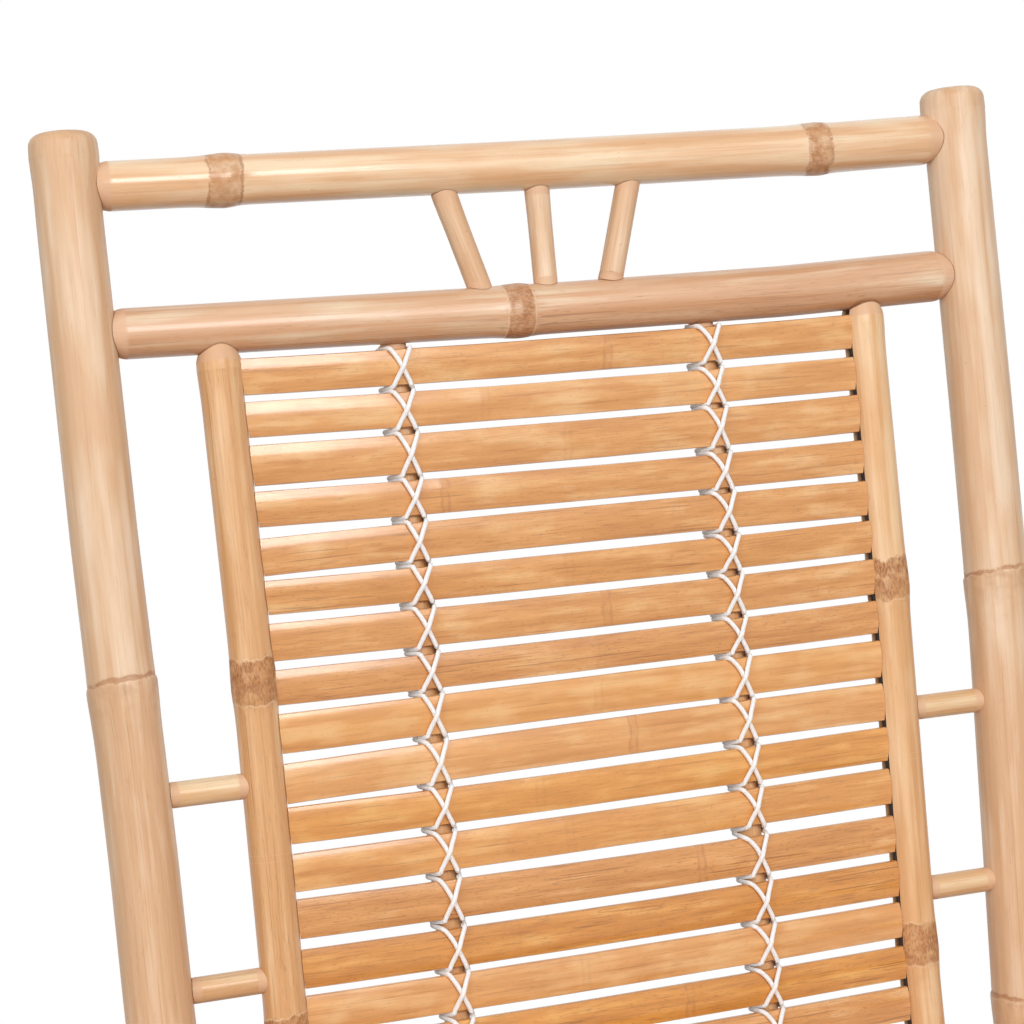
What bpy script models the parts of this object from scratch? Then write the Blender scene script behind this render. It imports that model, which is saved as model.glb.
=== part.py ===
"""Bamboo rocking chair: pole frame on bent rockers, with slatted back and seat laced to poles behind them.

Metres, +Z up. The sitter faces -Y and the origin is on the floor, midway along the rockers.
The back is set out in its own plane: across from the middle, along it from the crest rail (negative is
down) and forward, square to it, towards the sitter. The seat is set out the same way from its rear rail.
"""
import math

import bmesh
import bpy
import numpy as np
from mathutils import Vector

for old in list(bpy.data.objects):
    bpy.data.objects.remove(old, do_unlink=True)

# Overall sizes
HEIGHT = 1.000
RECLINE = math.radians(15.5)
CREST_BEHIND = 0.254
FIT = 0.0003

# Back frame
POST_SPACING = 0.560
POST_SPLAY = 0.0185
POST_TOP_RADIUS = 0.0193
POST_FOOT_RADIUS = 0.0205
POST_RISE = {-1: 0.0325, 1: 0.0365}
POST_NODES = {-1: (-0.278, -0.565, -0.868), 1: (-0.270, -0.535, -0.785)}
CREST_RADII = (0.0141, 0.0155)
SECOND_RADII = (0.0142, 0.0173)
RAIL_DROP = 0.0843
CREST_NODES = (-0.190, 0.186)
SECOND_NODES = (-0.019,)
SPINDLE_RADIUS = 0.0079
SPINDLE_TOP_SPREAD = 0.0622
SPINDLE_FOOT_SPREAD = 0.0374
SPINDLE_SHIFT = -0.0021

# Slatted panel of the back
PANEL_HALF_WIDTH = 0.2043
PANEL_SPLAY = 0.0075
PANEL_RAIL_RADIUS = 0.0124
PANEL_RAIL_NODES = {-1: (-0.285, -0.490), 1: (-0.267, -0.492)}
RUNG_RADIUS = 0.0081
RUNG_DROPS = {-1: {"upper": 0.345, "lower": 0.456}, 1: {"upper": 0.349, "lower": 0.461}}
SLAT_WIDTH = 0.0219
SLAT_GAP = 0.0041
SLAT_TOP_GAP = 0.0031
SLAT_BACK = 0.0008
SLAT_EDGE = 0.0036
SLAT_CROWN = 0.0062
SLAT_FACETS = 5
SLAT_OFFSETS_MM = (-1, -0.8, 1.2, -1.3, -0.3, -2, 0, -1.6, 1, 1.3, -0.7, 0.7, 2.6, 1.9, -0.3, -0.4, -0.5,
                   0.5, 0)
BOTTOM_RAIL_RADIUS = 0.0145
BOTTOM_NODES = (0.028,)
LACING_POLE_RADIUS = 0.0085
LACING_POLE_SPREAD = 0.0975
CORD_RADIUS = 0.00115
CORD_GAP = 0.00050
CORD_CLEAR = 0.00045
CORD_LIFT = 0.00060
CROSS_HALF_WIDTH = 0.0052
CROSS_STEP = 0.0026
TURN_CORNERS = 3

# Rockers
ROCKER_SWEEP = 1.100
ROCKER_HALF_SPAN = 0.475
ROCKER_RADIUS = 0.0225
ROCKER_FIT = 0.0008
ROCKER_STEPS = 19
ROCKER_NODES = (0.23, 0.585, 0.84)

# Arms and front legs
ARM_DROP = 0.503
ARM_RADIUS = 0.0185
ARM_HOUSING = 0.006
ARM_FRONT_HEIGHT = 0.528
ARM_REAR_OVERHANG = 0.045
ARM_FRONT_OVERHANG = 0.055
ARM_NODE_SHARES = (0.36, 0.80)
ARM_CUT_REACH = 2.5
LEG_TOP_FORWARD = 0.368
LEG_FOOT_FORWARD = 0.338
LEG_TOP_RADIUS = 0.0160
LEG_FOOT_RADIUS = 0.0180
LEG_NODE_SHARE = 0.40
REAR_LEG_DROP = 0.652
REAR_LEG_FOOT_BEHIND = 0.270
REAR_LEG_RADIUS = 0.0150
REAR_LEG_NODE = 0.150

# Seat
SEAT_FRONT_HEIGHT = 0.376
SEAT_REAR_DROP = 0.690
SEAT_RAIL_RADIUS = 0.0145
SEAT_REAR_NODES = (-0.033,)
SEAT_FRONT_NODE_SHARE = 0.60
SEAT_SIDE_NODE_SHARE = 0.55
SEAT_PANEL_NODE_SHARE = 0.48
SEAT_SLATS = 13
SEAT_SLAT_GAP = 0.0042
SEAT_SLAT_CROWN = 0.0048
SEAT_POLE_BITE = 0.0006
SIDE_RAIL_DROP = 0.060
STRETCHER_RADIUS = 0.0125
FRONT_STRETCHER_HEIGHT = 0.195
REAR_STRETCHER_HEIGHT = 0.170
FRONT_STRETCHER_NODE_SHARE = 0.42
REAR_STRETCHER_NODE_SHARE = 0.55

# How a culm swells at its nodes and rounds off at a closed tip, in shares of its radius
NODE_SWELL = 1.045
NODE_REACH = 0.45
TIP_ROUNDING = ((0.00, 0.70), (0.08, 0.88), (0.22, 0.97), (0.50, 1.02), (0.80, 1.0))
TIP_DOME = 0.03
WALL_SHARE = 0.68
COPE_RELIEF = 0.0022
COPE_START = 4.0

# Sides of the polygons that stand for round poles
THICK_SIDES = 16
THIN_SIDES = 12
SHARP_ANGLE = math.radians(40)

# How finely a cord's gap to itself is measured, and the stretch of it that counts as the same place
GAP_STEP = 0.001
GAP_SKIP = 0.014


def bamboo(name, colour, roughness):
    """One finish, as a Principled material with a plain colour."""
    finish = bpy.data.materials.new(name)
    finish.use_nodes = True
    shader = finish.node_tree.nodes["Principled BSDF"]
    shader.inputs["Base Color"].default_value = (*colour, 1.0)
    shader.inputs["Roughness"].default_value = roughness
    shader.inputs["Metallic"].default_value = 0.0
    finish.diffuse_color = (*colour, 1.0)
    return finish


PALE_CULM = bamboo("pale_culm", (0.70, 0.47, 0.27), 0.42)
GOLDEN_CULM = bamboo("golden_culm", (0.68, 0.40, 0.18), 0.30)
SPLIT_SLAT = bamboo("split_slat", (0.66, 0.33, 0.10), 0.30)
WHITE_CORD = bamboo("white_cord", (0.88, 0.87, 0.84), 0.65)


class Culm:
    """A straight pole's axis and taper, which its neighbours meet and are coped to."""

    def __init__(self, start, end, start_radius, end_radius):
        self.start = start
        self.end = end
        self.radii = (start_radius, end_radius)
        self.direction = (end - start).normalized()
        self.length = (end - start).length

    def radius_at(self, distance):
        share = distance / self.length
        return self.radii[0] + (self.radii[1] - self.radii[0]) * share

    def distance_to(self, point):
        return (point - self.start).dot(self.direction)

    def at_height(self, height):
        share = (height - self.start.z) / (self.end.z - self.start.z)
        return self.start.lerp(self.end, share)

    def skin(self, near, fit=FIT):
        """Axis point, axis direction and fitting radius next to a point."""
        distance = self.distance_to(near)
        return self.start + self.direction * distance, self.direction, self.radius_at(distance) + fit


def reach(origin, direction, skin):
    """Distance along a line to a cylinder, or to where the line passes closest if it misses."""
    axis_point, axis, radius = skin
    across = direction - axis * direction.dot(axis)
    offset = origin - axis_point
    offset = offset - axis * offset.dot(axis)
    a = across.dot(across)
    b = 2.0 * offset.dot(across)
    c = offset.dot(offset) - radius ** 2
    return (-b - math.sqrt(max(b * b - 4.0 * a * c, 0.0))) / (2.0 * a)


def add_object(name, mesh, finish):
    """Put a mesh in the scene as one named piece, smooth round its curves and sharp at its edges."""
    mesh.materials.append(finish)
    mesh.shade_smooth()
    mesh.set_sharp_from_angle(angle=SHARP_ANGLE)
    piece = bpy.data.objects.new(name, mesh)
    bpy.context.scene.collection.objects.link(piece)
    return piece


def finish_mesh(name, body):
    """Turn a bmesh into a mesh with its faces pointing out."""
    bmesh.ops.recalc_face_normals(body, faces=body.faces[:])
    mesh = bpy.data.meshes.new(name)
    body.to_mesh(mesh)
    body.free()
    return mesh


def ring_offsets(tangent, sides):
    """Unit offsets round a pole, with a flat of the polygon square to the frame's upright plane."""
    guide = Vector((1, 0, 0)) if abs(tangent.x) < 0.8 else Vector((0, 0, 1))
    first = (guide - tangent * guide.dot(tangent)).normalized()
    second = tangent.cross(first)
    angles = [2.0 * math.pi * (k + 0.5) / sides for k in range(sides)]
    return [first * math.cos(angle) + second * math.sin(angle) for angle in angles]


def tangents_along(path):
    """Direction of a path at each of its points."""
    steps = [(after - before).normalized() for before, after in zip(path, path[1:])]
    inner = [(before + after).normalized() for before, after in zip(steps, steps[1:])]
    return [steps[0], *inner, steps[-1]]


def pole_rings(path, radii, culm_nodes, closed):
    """Centre, tangent and radius of each ring of a pole: path points, node swellings and closed tips."""
    tangents = tangents_along(path)
    reached = [0.0]
    for before, after in zip(path, path[1:]):
        reached.append(reached[-1] + (after - before).length)
    length = reached[-1]

    def base_radius(distance):
        return radii[0] + (radii[1] - radii[0]) * distance / length

    def place(distance):
        index = max(i for i in range(len(path) - 1) if reached[i] <= max(distance, 0.0))
        share = (distance - reached[index]) / (reached[index + 1] - reached[index])
        direction = tangents[index].lerp(tangents[index + 1], share).normalized()
        return path[index].lerp(path[index + 1], share), direction

    marks = {}
    for distance in reached[1:-1]:
        marks[distance] = base_radius(distance)
    for distance in culm_nodes:
        radius = base_radius(distance)
        marks[distance - NODE_REACH * radius] = radius
        marks[distance] = radius * NODE_SWELL
        marks[distance + NODE_REACH * radius] = radius
    for end, sign in ((0.0, 1.0), (length, -1.0)):
        if closed[0 if end == 0.0 else 1]:
            for setback, share in TIP_ROUNDING:
                distance = end + sign * setback * base_radius(end)
                marks[distance] = base_radius(end) * share
    return [(*place(distance), radius) for distance, radius in sorted(marks.items())]


def pole(name, path, radii, finish, sides, culm_nodes=(), start=None, end=None):
    """One bamboo pole along a path.

    culm_nodes are distances from its start. An end with no skin to meet is a rounded closed tip. An end
    with one is a fish-mouth: its rim follows the neighbour's skin and the hollow inside it is relieved.
    """
    body = bmesh.new()
    rings = []
    tangents = tangents_along(path)
    tips = ((start, path[0], -tangents[0], radii[0]), (end, path[-1], tangents[-1], radii[1]))

    def fish_mouth(skin, tip, outward, radius):
        """Rim, relieved inner ring and centre of a coped end, from outside in."""
        offsets = ring_offsets(outward if tip is path[-1] else -outward, sides)
        loops = []
        for share, relief in ((1.0, 0.0), (WALL_SHARE, COPE_RELIEF), (0.0, COPE_RELIEF)):
            loop = []
            for offset in offsets if share else offsets[:1]:
                far = tip + offset * radius * share - outward * COPE_START * skin[2]
                loop.append(body.verts.new(far + outward * (reach(far, outward, skin) - relief)))
            loops.append(loop)
        return loops

    for centre, tangent, radius in pole_rings(path, radii, culm_nodes, (start is None, end is None)):
        rings.append([body.verts.new(centre + offset * radius) for offset in ring_offsets(tangent, sides)])
    caps = []
    for skin, tip, outward, radius in tips:
        if skin is None:
            caps.append([[body.verts.new(tip + outward * radius * TIP_DOME)]])
        else:
            caps.append(fish_mouth(skin, tip, outward, radius))
    loops = list(reversed(caps[0])) + rings + caps[1]
    for lower, upper in zip(loops, loops[1:]):
        for k in range(sides):
            after = (k + 1) % sides
            corners = [lower[k % len(lower)], lower[after % len(lower)],
                       upper[after % len(upper)], upper[k % len(upper)]]
            unique = [v for i, v in enumerate(corners) if v not in corners[:i]]
            body.faces.new(unique)
    return add_object(name, finish_mesh(name, body), finish)


# Setting out of the back

up_back = Vector((0, math.sin(RECLINE), math.cos(RECLINE)))
out_back = Vector((0, -math.cos(RECLINE), math.sin(RECLINE)))
crest_height = HEIGHT - max(POST_RISE.values()) * up_back.z - TIP_ROUNDING[0][1] * POST_TOP_RADIUS * out_back.z
crest_centre = Vector((0, CREST_BEHIND, crest_height))


def on_back(across, along, forward=0.0):
    return crest_centre + Vector((across, 0, 0)) + up_back * along + out_back * forward


def post_point(side, along):
    return on_back(side * (POST_SPACING / 2 + POST_SPLAY * along), along)


def panel_edge(along):
    return PANEL_HALF_WIDTH + PANEL_SPLAY * along


# Setting out of the rockers: arcs whose middle step lies flat on the floor

rocker_half_angle = math.asin(ROCKER_HALF_SPAN / ROCKER_SWEEP)
rocker_flat_height = ROCKER_RADIUS * math.cos(math.pi / THICK_SIDES)
rocker_low = rocker_flat_height - ROCKER_SWEEP * (1 - math.cos(rocker_half_angle / ROCKER_STEPS))


def rocker_height(y):
    return rocker_low + ROCKER_SWEEP - math.sqrt(ROCKER_SWEEP ** 2 - y ** 2)


def rocker_skin(point):
    """Axis point, axis direction and fitting radius of a rocker below a point."""
    lean = math.asin(point.y / ROCKER_SWEEP)
    axis_point = Vector((point.x, point.y, rocker_height(point.y)))
    return axis_point, Vector((0, math.cos(lean), math.sin(lean))), ROCKER_RADIUS + ROCKER_FIT


def post_foot_drop():
    """How far down its length a post meets the axis of its rocker."""
    along = -crest_height
    for _ in range(20):
        point = post_point(1, along)
        along -= (point.z - rocker_height(point.y)) / up_back.z
    return along


foot_along = post_foot_drop()
rocker_across = post_point(1, foot_along).x

posts = {}
for side in (-1, 1):
    foot = post_point(side, foot_along)
    posts[side] = Culm(foot, post_point(side, POST_RISE[side]), POST_FOOT_RADIUS, POST_TOP_RADIUS)

SIDE_NAMES = {-1: "left", 1: "right"}


def make_posts():
    for side, culm in posts.items():
        nodes = [culm.distance_to(post_point(side, along)) for along in POST_NODES[side]]
        pole(f"post_{SIDE_NAMES[side]}", [culm.start, culm.end], culm.radii, PALE_CULM, THICK_SIDES,
             nodes, start=rocker_skin(culm.start))


def between_posts(name, along, radii, finish, nodes_across):
    """A rail across the back, coped to both posts, and its axis for what meets it."""
    left = post_point(-1, along)
    right = post_point(1, along)
    distances = [across - left.x for across in nodes_across]
    pole(name, [left, right], radii, finish, THICK_SIDES, distances,
         start=posts[-1].skin(left), end=posts[1].skin(right))
    return Culm(left, right, *radii)


def coped(name, first, second, first_culm, second_culm, radius, finish, nodes=(), sides=THIN_SIDES):
    """A straight pole between two others, coped to both."""
    pole(name, [first, second], (radius, radius), finish, sides, nodes,
         start=first_culm.skin(first), end=second_culm.skin(second))
    return Culm(first, second, radius, radius)


def slat_edges(first, widths, gap, sign):
    """Near and far edge of each slat along its panel."""
    edges = []
    near = first
    for width in widths:
        far = near + sign * width
        edges.append((near, far))
        near = far + sign * gap
    return edges


def add_slat(body, place, near, far, edge_across, rail_radius, crown):
    """One split slat: convex front, flat back, ends that follow the round rails and clear their nodes."""
    middle = (near + far) / 2
    half = (far - near) / 2
    front = [2.0 * k / SLAT_FACETS - 1.0 for k in range(SLAT_FACETS + 1)]
    profile = [(middle + half * t, SLAT_BACK + SLAT_EDGE + (crown - SLAT_EDGE) * (1 - t * t)) for t in front]
    profile += [(far, SLAT_BACK), (near, SLAT_BACK)]
    ends = []
    for side in (-1, 1):
        loop = []
        for along, out in profile:
            across = edge_across(along) - math.sqrt((rail_radius * NODE_SWELL + FIT) ** 2 - out ** 2)
            loop.append(body.verts.new(place(side * across, along, out)))
        ends.append(loop)
    count = len(profile)
    for k in range(count):
        after = (k + 1) % count
        body.faces.new([ends[0][k], ends[0][after], ends[1][after], ends[1][k]])
    body.faces.new(ends[0])
    body.faces.new(ends[1])


def lacing_route(place, across, edges, rail_faces, pole_axis, crown, ridge):
    """Centre line of one lacing cord: down the panel as one strand and back up over it as the other.

    Each strand crosses the front of every slat, dips through the gap and goes round the pole behind.
    rail_faces are the nearest rail faces before the first slat and after the last.
    """
    pitch_sign = 1 if edges[0][1] > edges[0][0] else -1
    clear = CORD_RADIUS + FIT
    layer = 2 * CORD_RADIUS + CORD_GAP
    bounds = [rail_faces[0], *(edge for pair in edges for edge in pair), rail_faces[1]]
    gaps = [(before + after) / 2 for before, after in zip(bounds[::2], bounds[1::2])]
    shifts = [max(abs(after - before) / 2 - CORD_RADIUS - CORD_CLEAR, 0.0) * pitch_sign
              for before, after in zip(bounds[::2], bounds[1::2])]
    front = SLAT_BACK + (SLAT_EDGE if ridge else crown) + clear + CORD_LIFT

    def strand(level):
        """Half width of a strand's crossing, its depth at the slat edges, and its turn round the pole."""
        turn = (LACING_POLE_RADIUS + clear + level * layer) / math.cos(math.pi / TURN_CORNERS / 2)
        return CROSS_HALF_WIDTH + level * CROSS_STEP, front + level * layer, turn

    def turn_round(gap, level):
        """Round the back of the pole, from its right side to its left."""
        turn = strand(level)[2]
        angles = [math.pi * k / TURN_CORNERS for k in range(TURN_CORNERS + 1)]
        return [place(across + turn * math.cos(angle), gap, pole_axis - turn * math.sin(angle))
                for angle in angles]

    def crossing(index, level, backwards):
        """Over the front of one slat, from one gap to the next."""
        half, depth, _ = strand(level)
        near = gaps[index] + shifts[index]
        far = gaps[index + 1] - shifts[index + 1]
        route = [place(across - half, far if backwards else near, depth)]
        if ridge:
            top = SLAT_BACK + crown + clear + CORD_LIFT + level * layer
            route.append(place(across, (edges[index][0] + edges[index][1]) / 2, top))
        route.append(place(across + half, near if backwards else far, depth))
        return route

    route = turn_round(gaps[0], 0)[1:]
    for index in range(len(edges)):
        route += crossing(index, 0, False)
        route += turn_round(gaps[index + 1], 0)
    for index in reversed(range(len(edges))):
        route += crossing(index, 1, True)
        if index > 0:
            route += turn_round(gaps[index], 1)
    return route + turn_round(gaps[0], 1)[:TURN_CORNERS]


def least_gap(route):
    """Least space between the cord and itself, on points a millimetre apart, and the cord's length."""
    points = [np.array(route[0])]
    for before, after in zip(route, route[1:]):
        steps = max(1, round((after - before).length / GAP_STEP))
        points += [np.array(before.lerp(after, k / steps)) for k in range(1, steps + 1)]
    points = np.array(points)
    neighbours = math.ceil(GAP_SKIP / GAP_STEP)
    least = math.inf
    for k in range(len(points) - neighbours):
        away = np.linalg.norm(points[k + neighbours:] - points[k], axis=1)
        least = min(least, away.min())
    return least - 2 * CORD_RADIUS, len(points) * GAP_STEP


def lacing(name, route, resolution):
    """A cord as one unbroken tube with closed ends."""
    gap, length = least_gap(route)
    print(f"{name}: about {length:.2f} m of cord, least gap to itself {gap * 1000:.2f} mm")
    curve = bpy.data.curves.new(name, "CURVE")
    curve.dimensions = "3D"
    curve.bevel_depth = CORD_RADIUS
    curve.bevel_resolution = resolution
    curve.use_fill_caps = True
    spline = curve.splines.new("POLY")
    spline.points.add(len(route) - 1)
    for point, place in zip(spline.points, route):
        point.co = (*place, 1.0)
    curve.materials.append(WHITE_CORD)
    piece = bpy.data.objects.new(name, curve)
    bpy.context.scene.collection.objects.link(piece)


def make_back():
    """Crest, second rail, fan of spindles and the slatted panel with its lacing."""
    crest = between_posts("crest_rail", 0.0, CREST_RADII, GOLDEN_CULM, CREST_NODES)
    second = between_posts("second_rail", -RAIL_DROP, SECOND_RADII, GOLDEN_CULM, SECOND_NODES)
    for word, share in (("left", -1), ("middle", 0), ("right", 1)):
        top = on_back(share * SPINDLE_TOP_SPREAD + SPINDLE_SHIFT, 0.0)
        foot = on_back(share * SPINDLE_FOOT_SPREAD + SPINDLE_SHIFT, -RAIL_DROP)
        coped(f"spindle_{word}", foot, top, second, crest, SPINDLE_RADIUS, PALE_CULM)

    def second_face(across):
        """Underside of the tapering second rail."""
        return -RAIL_DROP - second.skin(on_back(across, -RAIL_DROP), 0.0)[2]

    widths = [SLAT_WIDTH + offset * 0.001 for offset in SLAT_OFFSETS_MM]
    edges = slat_edges(second_face(LACING_POLE_SPREAD) - SLAT_TOP_GAP, widths, SLAT_GAP, -1)
    bottom_face = edges[-1][1] - SLAT_GAP
    bottom_along = bottom_face - BOTTOM_RAIL_RADIUS
    bottom = between_posts("back_bottom_rail", bottom_along, (BOTTOM_RAIL_RADIUS, BOTTOM_RAIL_RADIUS),
                           GOLDEN_CULM, BOTTOM_NODES)

    for side, word in SIDE_NAMES.items():
        top = on_back(side * panel_edge(-RAIL_DROP), -RAIL_DROP)
        foot = on_back(side * panel_edge(bottom_along), bottom_along)
        nodes = [(along - bottom_along) for along in PANEL_RAIL_NODES[side]]
        rail = coped(f"back_side_rail_{word}", foot, top, bottom, second, PANEL_RAIL_RADIUS, PALE_CULM,
                     nodes, THICK_SIDES)
        for level, drop in RUNG_DROPS[side].items():
            inner = on_back(side * panel_edge(-drop), -drop)
            outer = post_point(side, -drop)
            coped(f"back_rung_{word}_{level}", inner, outer, rail, posts[side], RUNG_RADIUS, GOLDEN_CULM)

    for number, (near, far) in enumerate(edges, start=1):
        name = f"back_slat_{number:02d}"
        body = bmesh.new()
        add_slat(body, on_back, near, far, panel_edge, PANEL_RAIL_RADIUS, SLAT_CROWN)
        add_object(name, finish_mesh(name, body), SPLIT_SLAT)

    pole_axis = SLAT_BACK - FIT - LACING_POLE_RADIUS
    for side, word in SIDE_NAMES.items():
        across = side * LACING_POLE_SPREAD
        top = on_back(across, -RAIL_DROP, pole_axis)
        foot = on_back(across, bottom_along, pole_axis)
        coped(f"back_pole_{word}", foot, top, bottom, second, LACING_POLE_RADIUS, PALE_CULM)
        route = lacing_route(on_back, across, edges, (second_face(across), bottom_face), pole_axis, SLAT_CROWN,
                             True)
        lacing(f"back_lacing_{word}", route, 1)


def make_rockers():
    """Two bent culms that the chair rolls on."""
    angles = [rocker_half_angle * (2 * k / ROCKER_STEPS - 1) for k in range(ROCKER_STEPS + 1)]
    arc = 2 * rocker_half_angle * ROCKER_SWEEP
    for side, word in SIDE_NAMES.items():
        path = [Vector((side * rocker_across, ROCKER_SWEEP * math.sin(angle),
                        rocker_low + ROCKER_SWEEP * (1 - math.cos(angle)))) for angle in angles]
        pole(f"rocker_{word}", path, (ROCKER_RADIUS, ROCKER_RADIUS), PALE_CULM, THICK_SIDES,
             [share * arc for share in ROCKER_NODES])


# Setting out of the arms and front legs

arm_joints = {}
arms = {}
legs = {}
for side in (-1, 1):
    beside = post_point(side, -ARM_DROP)
    post_radius = posts[side].radius_at(posts[side].distance_to(beside))
    arm_across = side * (abs(beside.x) + post_radius + ARM_RADIUS - ARM_HOUSING)
    rear = Vector((arm_across, beside.y, beside.z))
    front = Vector((arm_across, -LEG_TOP_FORWARD, ARM_FRONT_HEIGHT))
    ahead = (front - rear).normalized()
    arm_joints[side] = front
    arms[side] = Culm(rear - ahead * ARM_REAR_OVERHANG, front + ahead * ARM_FRONT_OVERHANG,
                      ARM_RADIUS, ARM_RADIUS)
    foot = Vector((side * rocker_across, -LEG_FOOT_FORWARD, rocker_height(-LEG_FOOT_FORWARD)))
    legs[side] = Culm(foot, front, LEG_FOOT_RADIUS, LEG_TOP_RADIUS)


def add_cutter(name, body):
    """A body that only cuts or joins another piece."""
    cutter = bpy.data.objects.new(name, finish_mesh(name, body))
    bpy.context.scene.collection.objects.link(cutter)
    cutter.hide_render = True
    cutter.display_type = "WIRE"
    return cutter


def apply_boolean(piece, operation, other):
    change = piece.modifiers.new(operation.lower(), "BOOLEAN")
    change.operation = operation
    change.solver = "EXACT"
    change.object = other


def straight_tube(body, start, end, radius, sides):
    """A plain closed prism between two points."""
    direction = (end - start).normalized()
    offsets = ring_offsets(direction, sides)
    lower = [body.verts.new(start + offset * radius) for offset in offsets]
    upper = [body.verts.new(end + offset * radius) for offset in offsets]
    for k in range(sides):
        after = (k + 1) % sides
        body.faces.new([lower[k], lower[after], upper[after], upper[k]])
    body.faces.new(lower)
    body.faces.new(upper)


def make_arms_and_legs():
    """Arms housed against the posts at the back and carried on coped legs at the front."""
    for side, word in SIDE_NAMES.items():
        arm = arms[side]
        piece = pole(f"arm_{word}", [arm.start, arm.end], arm.radii, PALE_CULM, THICK_SIDES,
                     [arm.length * share for share in ARM_NODE_SHARES])
        axis_point, axis, radius = posts[side].skin(post_point(side, -ARM_DROP))
        body = bmesh.new()
        reach_each_way = axis * ARM_RADIUS * ARM_CUT_REACH
        circumscribed = radius / math.cos(math.pi / THICK_SIDES)
        straight_tube(body, axis_point - reach_each_way, axis_point + reach_each_way, circumscribed,
                      THICK_SIDES)
        apply_boolean(piece, "DIFFERENCE", add_cutter(f"cut_arm_{word}", body))

        leg = legs[side]
        pole(f"front_leg_{word}", [leg.start, leg.end], leg.radii, PALE_CULM, THICK_SIDES,
             [leg.length * LEG_NODE_SHARE], start=rocker_skin(leg.start), end=arms[side].skin(leg.end))


def make_rear_legs():
    """Raking legs that carry the posts on the back of the rockers."""
    for side, word in SIDE_NAMES.items():
        foot = Vector((side * rocker_across, REAR_LEG_FOOT_BEHIND, rocker_height(REAR_LEG_FOOT_BEHIND)))
        joint = post_point(side, -REAR_LEG_DROP)
        pole(f"rear_leg_{word}", [foot, joint], (REAR_LEG_RADIUS, REAR_LEG_RADIUS), PALE_CULM, THICK_SIDES,
             [REAR_LEG_NODE], start=rocker_skin(foot), end=posts[side].skin(joint))


# Setting out of the seat, between the posts and the front legs

seat_rear = on_back(0.0, -SEAT_REAR_DROP)
seat_front = Vector((0, legs[1].at_height(SEAT_FRONT_HEIGHT).y, SEAT_FRONT_HEIGHT))
seat_run = (seat_front - seat_rear).normalized()
seat_up = Vector((0, -seat_run.z, seat_run.y))
if seat_up.z < 0:
    seat_up = -seat_up
seat_length = (seat_front - seat_rear).length


def on_seat(across, along, up=0.0):
    return seat_rear + Vector((across, 0, 0)) + seat_run * along + seat_up * up


def seat_edge(_along):
    return PANEL_HALF_WIDTH


def make_seat():
    """Rails of the seat frame, its slat mat and the lacing."""
    rear = between_posts("seat_rear_rail", -SEAT_REAR_DROP, (SEAT_RAIL_RADIUS, SEAT_RAIL_RADIUS),
                         GOLDEN_CULM, SEAT_REAR_NODES)
    left, right = (legs[side].at_height(SEAT_FRONT_HEIGHT) for side in (-1, 1))
    front = coped("seat_front_rail", left, right, legs[-1], legs[1], SEAT_RAIL_RADIUS, GOLDEN_CULM,
                  ((right - left).length * SEAT_FRONT_NODE_SHARE,), THICK_SIDES)
    for side, word in SIDE_NAMES.items():
        behind = post_point(side, -SEAT_REAR_DROP - SIDE_RAIL_DROP)
        ahead = legs[side].at_height(SEAT_FRONT_HEIGHT - SIDE_RAIL_DROP)
        coped(f"seat_side_rail_{word}", behind, ahead, posts[side], legs[side], STRETCHER_RADIUS, GOLDEN_CULM,
              ((ahead - behind).length * SEAT_SIDE_NODE_SHARE,))
        coped(f"seat_panel_rail_{word}", on_seat(side * PANEL_HALF_WIDTH, 0.0),
              on_seat(side * PANEL_HALF_WIDTH, seat_length), rear, front, PANEL_RAIL_RADIUS, PALE_CULM,
              (seat_length * SEAT_PANEL_NODE_SHARE,), THICK_SIDES)

    rail_faces = (SEAT_RAIL_RADIUS, seat_length - SEAT_RAIL_RADIUS)
    pitch = (rail_faces[1] - rail_faces[0] - SEAT_SLAT_GAP) / SEAT_SLATS
    edges = slat_edges(rail_faces[0] + SEAT_SLAT_GAP, [pitch - SEAT_SLAT_GAP] * SEAT_SLATS, SEAT_SLAT_GAP, 1)
    body = bmesh.new()
    for near, far in edges:
        add_slat(body, on_seat, near, far, seat_edge, PANEL_RAIL_RADIUS, SEAT_SLAT_CROWN)
    mat = add_object("seat_slat_mat", finish_mesh("seat_slat_mat", body), SPLIT_SLAT)
    pole_axis = SLAT_BACK + SEAT_POLE_BITE - LACING_POLE_RADIUS
    for side, word in SIDE_NAMES.items():
        across = side * LACING_POLE_SPREAD
        coped(f"join_seat_pole_{word}", on_seat(across, 0.0, pole_axis),
              on_seat(across, seat_length, pole_axis), rear, front, LACING_POLE_RADIUS, SPLIT_SLAT)
        joined = bpy.data.objects[f"join_seat_pole_{word}"]
        joined.hide_render = True
        joined.display_type = "WIRE"
        apply_boolean(mat, "UNION", joined)
        route = lacing_route(on_seat, across, edges, rail_faces, pole_axis, SEAT_SLAT_CROWN, False)
        lacing(f"seat_lacing_{word}", route, 0)


def make_stretchers():
    """Low poles that tie the two sides together."""
    left, right = (legs[side].at_height(FRONT_STRETCHER_HEIGHT) for side in (-1, 1))
    coped("front_stretcher", left, right, legs[-1], legs[1], STRETCHER_RADIUS, GOLDEN_CULM,
          ((right - left).length * FRONT_STRETCHER_NODE_SHARE,))
    left, right = (posts[side].at_height(REAR_STRETCHER_HEIGHT) for side in (-1, 1))
    coped("rear_stretcher", left, right, posts[-1], posts[1], STRETCHER_RADIUS, GOLDEN_CULM,
          ((right - left).length * REAR_STRETCHER_NODE_SHARE,))


make_posts()
make_back()
make_rockers()
make_arms_and_legs()
make_rear_legs()
make_seat()
make_stretchers()
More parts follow.
